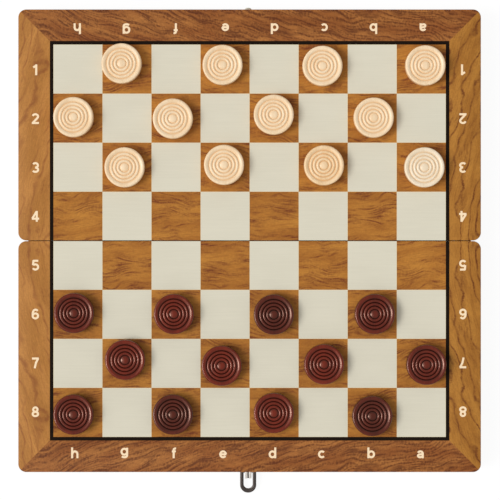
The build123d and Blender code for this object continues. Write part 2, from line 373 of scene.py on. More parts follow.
@dataclass(frozen=True)
class FiguredWood(Finish):
    """Golden wood with thin growth veins and clusters of dark, ragged streaks.

    Lengths are in millimetres. A cover is the share of the wood that a figure reaches,
    and a depth is how far the figure's colour takes over there.
    """

    figure: Figure
    light: Colour
    deep: Colour
    vein: Colour
    vein_spacing: float = 8.0
    vein_width: float = 0.9
    vein_cover: float = 0.5
    vein_depth: float = 0.8
    streak_length: float = 9.0
    streak_pitch: float = 1.5
    streak_cover: float = 0.5
    streak_depth: float = 0.8
    streak_fray: float = 0.4
    fibre_depth: float = 0.25
    pore_depth: float = 0.5
    gloss: Gloss = LACQUER

    def grain(self, sketch: ShaderSketch) -> tuple[Socket, Socket]:
        """Lays the grain out on the surface.

        Args:
            sketch: The material's sketch.

        Returns:
            The distance along the grain and across it, in millimetres.
        """
        maths, scaled = sketch.math, sketch.scaled
        x, y, z = sketch.place()
        out = maths("ABSOLUTE", y)
        if self.figure is Figure.SQUARES:
            return self.square_grain(sketch, x, y)
        if self.figure is Figure.SIDE_BAND:
            bend = maths("SQRT", scaled(maths("MULTIPLY", out, out), 1.0, 900.0))
            return out, maths("SUBTRACT", x, scaled(bend, 0.3))
        if self.figure is Figure.END_BAND:
            slope = maths("ADD", scaled(maths("MULTIPLY", x, x), -0.00035), scaled(x, 0.25))
            return x, maths("ADD", out, slope)
        if self.figure is Figure.ALONG_X:
            return x, maths("ADD", z, scaled(y, 0.35))
        return y, maths("ADD", z, scaled(x, 0.35))

    def square_grain(self, sketch: ShaderSketch, x: Socket, y: Socket) -> tuple[Socket, Socket]:
        """Cuts each square from its own place in the wood.

        The near half repeats the far half turned about the board's middle.

        Args:
            sketch: The material's sketch.
            x: Place along the fold in millimetres.
            y: Place across the fold in millimetres.

        Returns:
            The distance along the grain and across it, in millimetres.
        """
        maths, scaled = sketch.math, sketch.scaled
        turn = maths("SIGN", y)
        x, y = maths("MULTIPLY", x, turn), maths("MULTIPLY", y, turn)
        column, row = (maths("FLOOR", maths("DIVIDE", v, SIZES.square / MM)) for v in (x, y))
        lot = sketch.add("ShaderNodeTexWhiteNoise", {"Vector": sketch.vector(column, row, 3.0)})
        parts = sketch.add("ShaderNodeSeparateXYZ", {0: lot.outputs["Color"]}).outputs
        along = maths("ADD", x, scaled(parts[0], 900.0))
        across = maths("ADD", y, scaled(parts[1], 700.0))
        tilt = maths("MULTIPLY", x, scaled(parts[2], 0.36, -0.24))
        return along, maths("ADD", across, tilt)

    def veins(self, sketch: ShaderSketch, along: Socket, across: Socket, comb: Socket) -> Socket:
        """Returns the thin growth veins, broken where the wood has none.

        Args:
            sketch: The material's sketch.
            along: Distance along the grain.
            across: Distance across the grain.
            comb: Fine raggedness, between 0 and 1.

        Returns:
            1 on a vein and 0 away from it.
        """
        maths, scaled, step = sketch.math, sketch.scaled, sketch.smooth_step
        waver, cloud, force = (sketch.grained(along, across, s) for s in (WAVER, VEIN_CLOUD, FORCE))
        ring = maths("ADD", across, scaled(waver, 4.5 * self.vein_spacing))
        apart = maths("PINGPONG", ring, self.vein_spacing / 2)
        frayed = maths("ADD", apart, scaled(comb, 2.4, -1.2))
        line = maths("SUBTRACT", 1.0, step(frayed, 0.0, 2.2 * self.vein_width))
        low = 0.66 - 0.36 * self.vein_cover
        shown = maths("MULTIPLY", line, step(cloud, low, low + 0.16))
        return maths("MULTIPLY", shown, scaled(step(force, 0.3, 0.62), 0.65, 0.35))

    def streaks(self, sketch: ShaderSketch, along: Socket, across: Socket, comb: Socket) -> Socket:
        """Returns clusters of short dark streaks, combed across the grain.

        Args:
            sketch: The material's sketch.
            along: Distance along the grain.
            across: Distance across the grain.
            comb: Fine raggedness, between 0 and 1.

        Returns:
            1 on a streak and 0 away from it.
        """
        cloud, slant = (sketch.grained(along, across, s) for s in (STREAK_CLOUD, SLANT))
        low = 0.66 - 0.32 * self.streak_cover
        patch = sketch.smooth_step(cloud, low, low + 0.2)
        lean = sketch.math("ADD", across, sketch.scaled(slant, 22.0))
        strand = Strand(1 / self.streak_length, 1 / self.streak_pitch, seed=37.0, detail=3.0)
        thin = sketch.grained(along, lean, strand)
        fray = sketch.scaled(comb, self.streak_fray, -self.streak_fray / 2)
        streak = sketch.smooth_step(sketch.math("ADD", thin, fray), 0.4, 0.68)
        return sketch.math("MULTIPLY", patch, sketch.scaled(streak, 0.85, 0.15))

    def paint(self, sketch: ShaderSketch) -> Socket:
        """Colours the wood, and presses its fibres in.

        Args:
            sketch: The material's sketch.

        Returns:
            The colour.
        """
        maths, scaled = sketch.math, sketch.scaled
        along, across = self.grain(sketch)
        comb, broad, fibre, pore = (
            sketch.grained(along, across, strand) for strand in (COMB, BROAD, FIBRE, PORE)
        )
        vein = scaled(self.veins(sketch, along, across, comb), self.vein_depth)
        streak = scaled(self.streaks(sketch, along, across, comb), self.streak_depth)
        line = scaled(sketch.smooth_step(fibre, 0.48, 0.7), self.fibre_depth)
        dark = maths("MAXIMUM", maths("MAXIMUM", vein, streak), line)
        colour = sketch.mix(sketch.smooth_step(broad, 0.34, 0.66), self.deep, self.light)
        colour = sketch.mix(dark, colour, self.vein)
        flecks = scaled(pore, self.pore_depth, -self.pore_depth / 2)
        sketch.bump(fibre, 0.02 * MM)
        return sketch.shade(colour, maths("ADD", scaled(comb, -0.24, 1.12), flecks))


@dataclass(frozen=True)
class PlainWood(Finish):
    """Fine, even wood with faint fibres, as on pale veneers, ply and black line."""

    light: Colour
    deep: Colour
    gloss: Gloss
    joint: Colour | None = None
    joint_width: float = 0.45

    def paint(self, sketch: ShaderSketch) -> Socket:
        """Colours the wood, with its glue joints.

        Args:
            sketch: The material's sketch.

        Returns:
            The colour.
        """
        x, y, z = sketch.place()
        across = sketch.math("ADD", y, z)
        fibre, cloud = (sketch.grained(x, across, strand) for strand in (FINE_FIBRE, FINE_CLOUD))
        share = sketch.math("ADD", sketch.scaled(fibre, 0.6), sketch.scaled(cloud, 0.4))
        colour = sketch.mix(sketch.smooth_step(share, 0.35, 0.65), self.deep, self.light)
        if self.joint is None:
            return colour
        return sketch.mix(self.joint_lines(sketch, x, y), colour, self.joint)

    def joint_lines(self, sketch: ShaderSketch, x: Socket, y: Socket) -> Socket:
        """Draws the glue joints round the squares.

        Args:
            sketch: The material's sketch.
            x: Place along the fold in millimetres.
            y: Place across the fold in millimetres.

        Returns:
            1 on a joint and 0 away from it.
        """
        gaps = (sketch.math("PINGPONG", place, SIZES.square / MM / 2) for place in (x, y))
        gap = sketch.math("MINIMUM", *gaps)
        return sketch.math("SUBTRACT", 1.0, sketch.smooth_step(gap, 0.0, self.joint_width))


@dataclass(frozen=True)
class TurnedWood(Finish):
    """Close-grained turned wood under lacquer, with painted shade that darkens it in its grooves
    and on its sides.

    The levels of the grooves and of the crests are heights in millimetres.
    """

    light: Colour
    deep: Colour
    # Colour of the painted shade in the grooves and on the sides below them
    groove: Colour
    gloss: Gloss
    groove_level: float = 32.4
    crest_level: float = 33.05

    def paint(self, sketch: ShaderSketch) -> Socket:
        """Colours the wood, with painted shade in its grooves and on its sides.

        Args:
            sketch: The material's sketch.

        Returns:
            The colour.
        """
        scaled = sketch.scaled
        x, y, z = sketch.place()
        slant, along = sketch.math("ADD", x, scaled(z, 0.8)), scaled(y, 0.05)
        fibre = sketch.noise(sketch.vector(along, scaled(slant, 0.9), z), 3.0, 0.6)
        cloud = sketch.noise(sketch.vector(along, scaled(slant, 0.12), 9.0), 2.0)
        share = sketch.math("ADD", scaled(fibre, 0.45), scaled(cloud, 0.55))
        colour = sketch.mix(sketch.smooth_step(share, 0.35, 0.62), self.deep, self.light)
        # Painted shade: below the crest level the colour darkens to the groove colour, in the
        # grooves and down the rim and foot
        high = sketch.smooth_step(z, self.groove_level, self.crest_level)
        return sketch.mix(high, self.groove, colour)


@dataclass(frozen=True)
class Metal(Finish):
    """Plated or blackened metal with the faint marks of polishing."""

    colour: Colour
    gloss: Gloss

    def paint(self, sketch: ShaderSketch) -> Socket:
        """Colours the metal.

        Args:
            sketch: The material's sketch.

        Returns:
            The colour.
        """
        x, y, z = (sketch.scaled(v, s) for v, s in zip(sketch.place(), (1.5, 0.4, 0.4)))
        marks = sketch.noise(sketch.vector(x, y, z), 3.0)
        even = sketch.mix(0.0, self.colour, self.colour)
        return sketch.shade(even, sketch.scaled(marks, 0.3, 0.85))


@dataclass(frozen=True)
class Ink(Finish):
    """Even, matt printing ink."""

    colour: Colour
    gloss: Gloss = Gloss(0.5, 0.3)

    def paint(self, sketch: ShaderSketch) -> Colour:
        """Returns the ink's colour."""
        return self.colour


GOLDEN_SQUARES = FiguredWood(
    "golden squares", Figure.SQUARES, srgb(188, 126, 52), srgb(166, 105, 41), srgb(104, 44, 24),
    vein_spacing=9.0, vein_width=0.6, vein_cover=0.6, vein_depth=0.8, streak_cover=0.8,
    streak_depth=0.9, streak_length=14.0, streak_pitch=1.15, streak_fray=0.14,
)
LEFT_BAND = FiguredWood(
    "pale golden band", Figure.SIDE_BAND,
    srgb(190, 130, 65), srgb(172, 115, 53), srgb(120, 58, 30),
    vein_spacing=9.0, vein_width=0.8, vein_cover=0.9, vein_depth=0.6,
    streak_cover=0.45, streak_depth=0.5, streak_length=14.0, streak_fray=0.2,
)
RIGHT_BAND = FiguredWood(
    "golden band", Figure.SIDE_BAND, srgb(184, 126, 54), srgb(162, 106, 42), srgb(96, 44, 20),
    vein_spacing=10.0, vein_width=0.7, vein_cover=1.2, vein_depth=0.85,
    streak_cover=0.6, streak_depth=0.55, streak_length=14.0, streak_fray=0.2,
)
BROWN_BAND = FiguredWood(
    "red-brown end band", Figure.END_BAND,
    srgb(178, 115, 58), srgb(150, 89, 42), srgb(80, 34, 18),
    vein_spacing=9.0, vein_cover=0.7, streak_cover=1.3,
    streak_length=24.0, streak_pitch=1.6, streak_fray=0.35, pore_depth=0.8,
)
RAIL_ALONG_X, RAIL_ALONG_Y = (
    FiguredWood(
        f"rail wood {way} the fold", figure,
        srgb(170, 110, 54), srgb(146, 88, 42), srgb(90, 48, 26),
        streak_cover=0.7, streak_length=20.0,
    )
    for way, figure in (("along", Figure.ALONG_X), ("across", Figure.ALONG_Y))
)
PALE_SQUARES = PlainWood(
    "pale squares", srgb(221, 215, 195), srgb(217, 211, 191), LACQUER, srgb(236, 220, 180)
)
BLACK_LINE = PlainWood("black line", srgb(30, 20, 12), srgb(22, 14, 8), Gloss(0.5, 0.05))
PANEL_PLY = PlainWood("panel ply", srgb(206, 176, 132), srgb(190, 156, 110), Gloss(0.6, 0.25))

SATIN = Gloss(0.34, 0.3, coat=0.15, coat_roughness=0.2)
GLEAM = Gloss(0.18, 0.72, tint=(1.0, 0.66, 0.52))
# In each, the third colour is painted shade for the grooves and the sides below them
PALE, TAN, CREAM, RED, DARK, BLACKISH = (
    TurnedWood(f"{name} wood", srgb(*light), srgb(*deep), srgb(*groove), gloss)
    for name, light, deep, groove, gloss in (
        ("pale", (248, 222, 186), (238, 205, 163), (238, 202, 158), SATIN),
        ("tan", (246, 215, 174), (234, 197, 149), (232, 190, 140), SATIN),
        ("cream", (245, 227, 200), (237, 215, 182), (235, 208, 172), SATIN),
        ("red stained", (114, 32, 15), (94, 23, 9), (56, 14, 7), GLEAM),
        ("dark stained", (104, 30, 15), (83, 20, 9), (50, 12, 7), GLEAM),
        ("blackish stained", (88, 27, 15), (69, 19, 9), (42, 12, 7), GLEAM),
    )
)
ODD_CHECKERS = {
    "c3": TAN, "a3": CREAM, "f6": RED, "g7": RED, "e7": RED, "c7": RED, "d8": RED,
    "d6": BLACKISH, "b8": BLACKISH, "f8": BLACKISH,
}

HINGE_BRASS = Metal("hinge brass", srgb(196, 160, 92), Gloss(0.3, 0.5, metallic=1.0))
SCREW_STEEL = Metal("screw steel", srgb(178, 168, 146), Gloss(0.32, 0.5, metallic=1.0))
# Painted shade: a dark sheet set in the latch tongue's slit stands for the shadow there
SLIT_SHADE = Metal("painted slit shade", srgb(38, 32, 30), Gloss(0.6, 0.2))
BLACKENED_STEEL = Metal("blackened steel", srgb(92, 84, 80), Gloss(0.34, 0.5, metallic=1.0))
NICKEL = Metal("nickel", srgb(238, 232, 224), Gloss(0.3, 0.5, metallic=0.55))
DULL_PLATE = Metal("dull plate", srgb(222, 214, 196), Gloss(0.5, 0.4, metallic=0.35))
CREAM_INK = Ink("cream ink", srgb(252, 226, 188))


# Meshes


def add_object(name: str, mesh: bpy.types.Mesh) -> bpy.types.Object:
    """Puts a mesh in the scene as an object at the origin.

    Args:
        name: The object's name.
        mesh: Its mesh.

    Returns:
        The object.
    """
    made = bpy.data.objects.new(name, mesh)
    bpy.context.scene.collection.objects.link(made)
    return made


def evaluated_mesh(made: bpy.types.Object) -> bpy.types.Mesh:
    """Returns a plain mesh of an object with its modifiers."""
    graph = bpy.context.evaluated_depsgraph_get()
    return bpy.data.meshes.new_from_object(made.evaluated_get(graph), depsgraph=graph)


def settle(made: bpy.types.Object, weld: float = 1e-6, sharp: float = 40.0) -> None:
    """Applies an object's modifiers and cleans its mesh.

    Args:
        made: The object.
        weld: Distance within which points become one.
        sharp: Angle in degrees past which an edge stays sharp.
    """
    mesh = evaluated_mesh(made)
    made.modifiers.clear()
    made.data = mesh
    work = bmesh.new()
    work.from_mesh(mesh)
    bmesh.ops.remove_doubles(work, verts=work.verts, dist=weld)
    bmesh.ops.recalc_face_normals(work, faces=work.faces)
    work.to_mesh(mesh)
    work.free()
    mesh.shade_smooth()
    mesh.set_sharp_from_angle(angle=math.radians(sharp))


def solid(name: str, points: Sequence[tuple], faces: Sequence[tuple]) -> bpy.types.Object:
    """Makes an object from points and faces and turns its faces outwards.

    Args:
        name: The object's name.
        points: Its points.
        faces: Its faces, as numbers of points, wound either way.

    Returns:
        The object.
    """
    mesh = bpy.data.meshes.new(name)
    mesh.from_pydata(points, [], faces)
    work = bmesh.new()
    work.from_mesh(mesh)
    bmesh.ops.recalc_face_normals(work, faces=work.faces)
    work.to_mesh(mesh)
    work.free()
    return add_object(name, mesh)


def solid_from_plan(name: str, plan: Sequence[Point], low: float, high: float) -> bpy.types.Object:
    """Makes an upright prism over a plan outline.

    Args:
        name: The object's name.
        plan: The outline, in order.
        low: Height of its foot.
        high: Height of its top.

    Returns:
        The prism.
    """
    count = len(plan)
    points = [(x, y, low) for x, y in plan] + [(x, y, high) for x, y in plan]
    faces = [tuple(range(count)), tuple(range(count, 2 * count))]
    faces += [(i, (i + 1) % count, count + (i + 1) % count, count + i) for i in range(count)]
    return solid(name, points, faces)


def arc(centre: Point, radius: float, start: float, end: float, steps: int = 10) -> list[Point]:
    """Returns points along an arc.

    Args:
        centre: The arc's centre.
        radius: The arc's radius.
        start: Angle of its first point in degrees.
        end: Angle of its last point in degrees.
        steps: Number of chords.

    Returns:
        The points from start to end.
    """
    angles = [math.radians(start + (end - start) * i / steps) for i in range(steps + 1)]
    return [(centre[0] + radius * math.cos(a), centre[1] + radius * math.sin(a)) for a in angles]


def rounded(low: Point, high: Point, corner: float) -> list[Point]:
    """Returns the outline of a rectangle with round corners.

    Args:
        low: Its lower left corner.
        high: Its upper right corner.
        corner: The corners' radius.

    Returns:
        The outline in order.
    """
    right, left = high[0] - corner, low[0] + corner
    upper, lower = high[1] - corner, low[1] + corner
    centres = ((right, upper), (left, upper), (left, lower), (right, lower))
    turns = [arc(centre, corner, 90 * i, 90 * i + 90, 6) for i, centre in enumerate(centres)]
    return [point for turn in turns for point in turn]


def carve(made: bpy.types.Object, tool: bpy.types.Object) -> None:
    """Takes a tool's solid out of a piece and removes the tool.

    Args:
        made: The piece.
        tool: The solid to take out of it.
    """
    settle(tool)
    cut = made.modifiers.new("seat", "BOOLEAN")
    cut.object, cut.solver = tool, "EXACT"
    mesh = evaluated_mesh(made)
    made.modifiers.clear()
    made.data = mesh
    bpy.data.objects.remove(tool)


def soften(
    made: bpy.types.Object, width: float, wanted: Callable[[Vector, Vector], bool], steps: int = 3
) -> None:
    """Rounds the chosen edges of a piece.

    Args:
        made: The piece.
        width: Width of the rounding.
        wanted: Says of an edge's two ends whether it is rounded.
        steps: Number of segments.
    """
    mesh = made.data
    weights = mesh.attributes.new("bevel_weight_edge", "FLOAT", "EDGE")
    for edge in mesh.edges:
        first, second = (mesh.vertices[i].co for i in edge.vertices)
        weights.data[edge.index].value = 1.0 if wanted(first, second) else 0.0
    bevel = made.modifiers.new("soft arris", "BEVEL")
    bevel.limit_method = "WEIGHT"
    bevel.width = width
    bevel.segments = steps
    bevel.use_clamp_overlap = True


def dress(made: bpy.types.Object, material: bpy.types.Material) -> None:
    """Gives a piece one material."""
    made.data.materials.clear()
    made.data.materials.append(material)


def hand_over(made: bpy.types.Object, body: str, nodes: Iterable[str]) -> None:
    """Hangs a finished piece on its body and hides the nodes it stands for.

    Args:
        made: The piece.
        body: The body it rides on.
        nodes: The nodes it stands for.
    """
    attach(made, body)
    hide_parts(*nodes)
    LOG.info("%s rides on %s and stands for %s", made.name, body, ", ".join(nodes))


class FinishBook:
    """Makes each finish's material once."""

    def __init__(self) -> None:
        """Starts empty."""
        self.made: dict[str, bpy.types.Material] = {}

    def of(self, finish: Finish) -> bpy.types.Material:
        """Finds or makes the material of a finish.

        Args:
            finish: The finish.

        Returns:
            The material, the same one each time.
        """
        if finish.name not in self.made:
            self.made[finish.name] = finish.material()
        return self.made[finish.name]


# Geometry rules


class GeometryRule:
    """A Geometry Nodes tree with named inputs, run once on a base mesh."""

    def __init__(self, name: str, **inputs: str) -> None:
        """Makes the tree and its inputs.

        Args:
            name: The tree's name.
            inputs: Names of the inputs of each kind, with commas between them.
        """
        self.tree = bpy.data.node_groups.new(name, "GeometryNodeTree")
        face = self.tree.interface
        face.new_socket("Geometry", in_out="INPUT", socket_type="NodeSocketGeometry")
        face.new_socket("Geometry", in_out="OUTPUT", socket_type="NodeSocketGeometry")
        self.identifiers: dict[str, str] = {}
        for kind, labels in {**inputs, "Material": "Material"}.items():
            for label in labels.split(", "):
                made = face.new_socket(label, in_out="INPUT", socket_type=f"NodeSocket{kind}")
                self.identifiers[label] = made.identifier
        self.sketch = NodeSketch(self.tree)
        self.given = self.sketch.add("NodeGroupInput").outputs

    def finish(self, geometry: Socket, weld: float = 1e-6) -> None:
        """Ends the tree: instances made real, points welded, material set.

        Args:
            geometry: What the tree has made.
            weld: Distance within which points become one.
        """
        add = self.sketch.add
        real = add("GeometryNodeRealizeInstances", {0: geometry})
        welded = add("GeometryNodeMergeByDistance", {0: real.outputs[0], "Distance": weld})
        material = {"Geometry": welded.outputs[0], "Material": self.given["Material"]}
        add("NodeGroupOutput", {0: add("GeometryNodeSetMaterial", material).outputs[0]})

    def run(self, name: str, base: bpy.types.Mesh, **values: object) -> bpy.types.Object:
        """Runs the tree on a mesh.

        Args:
            name: The piece's name.
            base: The mesh it starts from.
            values: Value by the input's name, with underlines for spaces.

        Returns:
            The piece, as a plain mesh.
        """
        made = add_object(name, base)
        modifier = made.modifiers.new(self.tree.name, "NODES")
        modifier.node_group = self.tree
        for label, value in values.items():
            modifier[self.identifiers[label.replace("_", " ")]] = value
        settle(made)
        return made


class TileRule(GeometryRule):
    """Every second tile of a chequered field beside the fold."""

    def __init__(self) -> None:
        """Builds the tree."""
        super().__init__(
            "chequered tiles", Float="Square, Thickness, Ground, Trim",
            Int="Columns, Rows, Parity", Vector="Turn",
        )
        add, maths, given = self.sketch.add, self.sketch.math, self.given
        square, rows, columns = given["Square"], given["Rows"], given["Columns"]
        wide = maths("MULTIPLY", square, maths("SUBTRACT", columns, 1.0))
        deep = maths("MULTIPLY", square, maths("SUBTRACT", rows, 1.0))
        grid = add("GeometryNodeMeshGrid", {0: wide, 1: deep, 2: columns, 3: rows})
        place = add("ShaderNodeSeparateXYZ", {0: add("GeometryNodeInputPosition").outputs[0]})
        column, row = (
            maths("ROUND", maths("DIVIDE", maths("ADD", at, maths("DIVIDE", span, 2.0)), square))
            for at, span in zip(place.outputs, (wide, deep))
        )
        count = maths("ADD", maths("ADD", column, row), given["Parity"])
        chosen = maths("SUBTRACT", 1.0, maths("MODULO", count, 2.0))
        cut = maths("MULTIPLY", maths("LESS_THAN", row, 0.5), given["Trim"])
        size = self.sketch.vector(square, square, given["Thickness"])
        tile = add("GeometryNodeMeshCube", {"Size": size})
        shrink = maths("SUBTRACT", 1.0, maths("DIVIDE", cut, square))
        tiles = add("GeometryNodeInstanceOnPoints", {
            "Points": grid.outputs[0], "Selection": chosen, "Instance": tile.outputs[0],
            "Scale": self.sketch.vector(1.0, shrink, 1.0),
        })
        moved = add("GeometryNodeTranslateInstances", {
            "Instances": tiles.outputs[0],
            "Translation": self.sketch.vector(0.0, maths("DIVIDE", cut, 2.0)),
        })
        middle = maths("MULTIPLY", square, maths("DIVIDE", rows, 2.0))
        height = maths("ADD", given["Ground"], maths("DIVIDE", given["Thickness"], 2.0))
        placed = add("GeometryNodeTransform", {
            "Geometry": moved.outputs[0], "Translation": self.sketch.vector(0.0, middle, height),
        })
        turned = add("GeometryNodeTransform", {0: placed.outputs[0], "Rotation": given["Turn"]})
        self.finish(turned.outputs[0], weld=0.0)


class TurningRule(GeometryRule):
    """Turns a half profile, drawn as a chain of points, about an upright axis."""

    def __init__(self) -> None:
        """Builds the tree."""
        super().__init__("turning", Int="Segments", Float="Ring", Vector="Centre")
        add, given = self.sketch.add, self.given
        profile = add("GeometryNodeMeshToCurve", {0: given["Geometry"]})
        path = add("GeometryNodeCurvePrimitiveCircle", {
            "Resolution": given["Segments"], "Radius": given["Ring"],
        })
        turned = add("GeometryNodeCurveToMesh", {
            "Curve": path.outputs[0], "Profile Curve": profile.outputs[0],
        })
        placed = add("GeometryNodeTransform", {
            "Geometry": turned.outputs[0], "Translation": given["Centre"],
        })
        self.finish(placed.outputs[0])


class PenRule(GeometryRule):
    """Draws flat strokes of one width along the chains of a mesh and joins them into one film."""

    def __init__(self) -> None:
        """Builds the tree."""
        super().__init__("pen strokes", Float="Pen, Film")
        add, given = self.sketch.add, self.given
        chains = add("GeometryNodeMeshToCurve", {0: given["Geometry"]})
        flat = add("GeometryNodeSetCurveNormal", {0: chains.outputs[0]})
        self.choose(flat, "Z_UP")
        nib = add("GeometryNodeCurvePrimitiveQuadrilateral", {
            "Width": given["Pen"], "Height": given["Film"],
        })
        strokes = add("GeometryNodeCurveToMesh", {
            "Curve": flat.outputs[0], "Profile Curve": nib.outputs[0], "Fill Caps": True,
        })
        film = add("GeometryNodeMeshBoolean", {
            "Mesh 2": strokes.outputs[0], "Self Intersection": True,
        }, operation="UNION", solver="EXACT")
        self.finish(film.outputs[0])

    def choose(self, node: bpy.types.Node, option: str) -> None:
        """Sets a node's mode, whether it is a property or a menu socket.

        Args:
            node: The node.
            option: The mode's name.
        """
        if hasattr(node, "mode"):
            node.mode = option
        else:
            node.inputs["Mode"].default_value = option


class ScrewRule(GeometryRule):
    """Countersunk slotted screws at the points of a mesh, with each slot turned its own way."""

    def __init__(self) -> None:
        """Builds the tree."""
        super().__init__(
            "slotted screws", Float="Head Radius, Head Depth, Shank Radius, Length, Slot Width",
            Rotation="Facing", Int="Seed",
        )
        add, maths, given = self.sketch.add, self.sketch.math, self.given
        head = add("GeometryNodeMeshCone", {
            "Vertices": 24, "Radius Top": given["Shank Radius"],
            "Radius Bottom": given["Head Radius"], "Depth": given["Head Depth"],
        })
        wide = maths("MULTIPLY", given["Head Radius"], 3.0)
        cutter = add("GeometryNodeMeshCube", {
            "Size": self.sketch.vector(wide, given["Slot Width"], given["Head Depth"]),
        })
        slotted = add("GeometryNodeMeshBoolean", {
            "Mesh 1": head.outputs[0], "Mesh 2": cutter.outputs[0],
        }, operation="DIFFERENCE", solver="EXACT")
        shank = add("GeometryNodeMeshCone", {
            "Vertices": 16, "Radius Top": maths("MULTIPLY", given["Shank Radius"], 0.4),
            "Radius Bottom": maths("MULTIPLY", given["Shank Radius"], 0.98),
            "Depth": maths("SUBTRACT", given["Length"], given["Head Depth"]),
        })
        below = add("GeometryNodeTransform", {
            "Geometry": shank.outputs[0],
            "Translation": self.sketch.vector(0.0, 0.0, given["Head Depth"]),
        })
        whole = add("GeometryNodeJoinGeometry")
        for part in (slotted, below):
            self.tree.links.new(part.outputs[0], whole.inputs[0])
        lot = add("FunctionNodeRandomValue", {"Seed": given["Seed"]}, data_type="FLOAT")
        twist = add("FunctionNodeAxisAngleToRotation", {
            "Axis": (0.0, 0.0, 1.0), "Angle": maths("MULTIPLY", lot.outputs[1], math.pi),
        })
        turned = add("FunctionNodeRotateRotation", {
            "Rotation": given["Facing"], "Rotate By": twist.outputs[0],
        }, rotation_space="LOCAL")
        screws = add("GeometryNodeInstanceOnPoints", {
            "Points": given["Geometry"], "Instance": whole.outputs[0],
            "Rotation": turned.outputs[0],
        })
        self.finish(screws.outputs[0], weld=0.0)


# The box


@dataclass
class TrayHalf:
    """One half of the box: four mitred rails, the panel and the veneered surface."""

    half: Half
    book: FinishBook
    tiles: TileRule
    sizes: BoardSizes = SIZES
    foot: float = 3.0 * MM
    foot_arris: float = 0.5 * MM
    seat_slack: float = 0.2 * MM
    leaf_slack: float = 0.1 * MM
    leaf_depth: float = 0.85 * MM
    plate_slack: float = 0.04 * MM
    plate_corner: float = 1.2 * MM

    def corner_half(self, x_sign: int, fold: bool, outward: bool) -> list[Point]:
        """Points of half a rounded corner, from its 45-degree point to its straight side.

        Args:
            x_sign: Which side the corner is on.
            fold: Whether it is a corner at the fold.
            outward: Whether the straight side is the one along the fold's direction.

        Returns:
            The points, starting on the mitre.
        """
        size = self.sizes
        y = size.fold_face + size.corner if fold else size.edge - size.corner
        centre = (x_sign * (size.edge - size.corner), y)
        upright = -90.0 if fold else 90.0
        level = 0.0 if x_sign > 0 else 180.0
        level = level if abs(level - upright) <= 180 else level - 360
        middle = (upright + level) / 2
        return arc(centre, size.corner, middle, upright if outward else level, steps=6)

    def member_plan(self, side: str, width: float, mitred_at_fold: bool) -> list[Point]:
        """Plan of one member of a mitred frame, drawn for the far half.

        Args:
            side: outer, fold, left or right.
            width: The member's width.
            mitred_at_fold: Whether the side members meet one along the fold.

        Returns:
            The outline in order.
        """
        size = self.sizes
        inner = size.edge - width
        low = size.fold_face + width if mitred_at_fold else size.fold_face
        if side == "outer":
            left = self.corner_half(-1, fold=False, outward=True)
            right = self.corner_half(1, fold=False, outward=True)
            return left + right[::-1] + [(inner, inner), (-inner, inner)]
        if side == "fold":
            left = self.corner_half(-1, fold=True, outward=True)
            right = self.corner_half(1, fold=True, outward=True)
            return left + right[::-1] + [(inner, low), (-inner, low)]
        x_sign = -1 if side == "left" else 1
        upper = self.corner_half(x_sign, fold=False, outward=False)
        lower = self.corner_half(x_sign, fold=True, outward=False)
        if not mitred_at_fold:
            lower = self.corner_half(x_sign, fold=True, outward=True)[::-1] + lower[1:]
        return upper + lower[::-1] + [(x_sign * inner, low), (x_sign * inner, inner)]

    def own_side(self, side: str) -> str:
        """Name that a side drawn for the far half has on this one.

        Args:
            side: outer, fold, left or right.

        Returns:
            The side's word in this half's nodes.
        """
        if side == "outer":
            return self.half.outer
        if side == "fold":
            return "hinge"
        if self.half is Half.FAR:
            return side
        return {"left": "right", "right": "left"}[side]

    def up_to_fold(self, plan: list[Point]) -> list[Point]:
        """Moves what lies on a member's fold face out to where the rails all but meet."""
        face, meeting = self.sizes.fold_face + 1e-6, self.sizes.rail_gap / 2
        return [(x, meeting if y < face else y) for x, y in plan]

    def rail(self, side: str) -> None:
        """Builds one rail, with its rebate for the panel and soft lower arris.

        Args:
            side: outer, fold, left or right.
        """
        size = self.sizes
        name = f"{self.half.value}_{self.own_side(side)}_rail"
        low_plan = self.up_to_fold(self.member_plan(side, size.rail, mitred_at_fold=True))
        rebated = self.member_plan(side, size.rail / 2, mitred_at_fold=True)
        high_plan = low_plan[:-2] + rebated[-2:]
        outline = len(low_plan) - 2
        levels = [(low_plan, 0.0), (high_plan, size.ground)]
        points = [(x, y, z) for plan, z in levels for x, y in plan]
        points += [(x, y, size.ceiling) for x, y in low_plan[-2:] + high_plan[-2:]]
        count = len(low_plan)
        last, first = outline, outline + 1
        ledge = 2 * count
        faces = [tuple(range(count)), tuple(range(count, 2 * count))]
        faces += [(i, i + 1, count + i + 1, count + i) for i in range(outline - 1)]
        faces += [
            (outline - 1, last, ledge, ledge + 2, count + last, count + outline - 1),
            (first, 0, count, count + first, ledge + 3, ledge + 1),
            (last, first, ledge + 1, ledge),
            (ledge, ledge + 1, ledge + 3, ledge + 2),
            (ledge + 2, ledge + 3, count + first, count + last),
        ]
        made = solid(name, points, faces)
        made.data.transform(self.half.turn)
        self.soften_foot(made, outline)
        if side == "fold":
            self.cut_hinge_seats(made)
        if side == "outer":
            self.cut_plate_seat(made)
        else:
            self.relieve_fold(made)
        settle(made)
        lengthways = RAIL_ALONG_X if side in ("outer", "fold") else RAIL_ALONG_Y
        dress(made, self.book.of(lengthways))
        hand_over(made, self.half.body, [name])

    def soften_foot(self, made: bpy.types.Object, outline: int) -> None:
        """Rounds a rail's outer lower arris, along its first outline points.

        Args:
            made: The rail.
            outline: How many of its points lie on that outline.
        """
        mesh = made.data
        feet = {tuple(mesh.vertices[i].co) for i in range(outline)}
        soften(made, self.foot_arris, lambda a, b: tuple(a) in feet and tuple(b) in feet, steps=2)

    def relieve_fold(self, made: bpy.types.Object) -> None:
        """Hollows a rail's fold face above its foot, so that the halves part in a dark slit.

        Args:
            made: The rail.
        """
        face, beyond = self.sizes.fold_face, self.sizes.edge + 1.0 * MM
        plan = [(-beyond, -face), (beyond, -face), (beyond, face), (-beyond, face)]
        carve(made, solid_from_plan("relief", plan, self.foot, self.sizes.height))

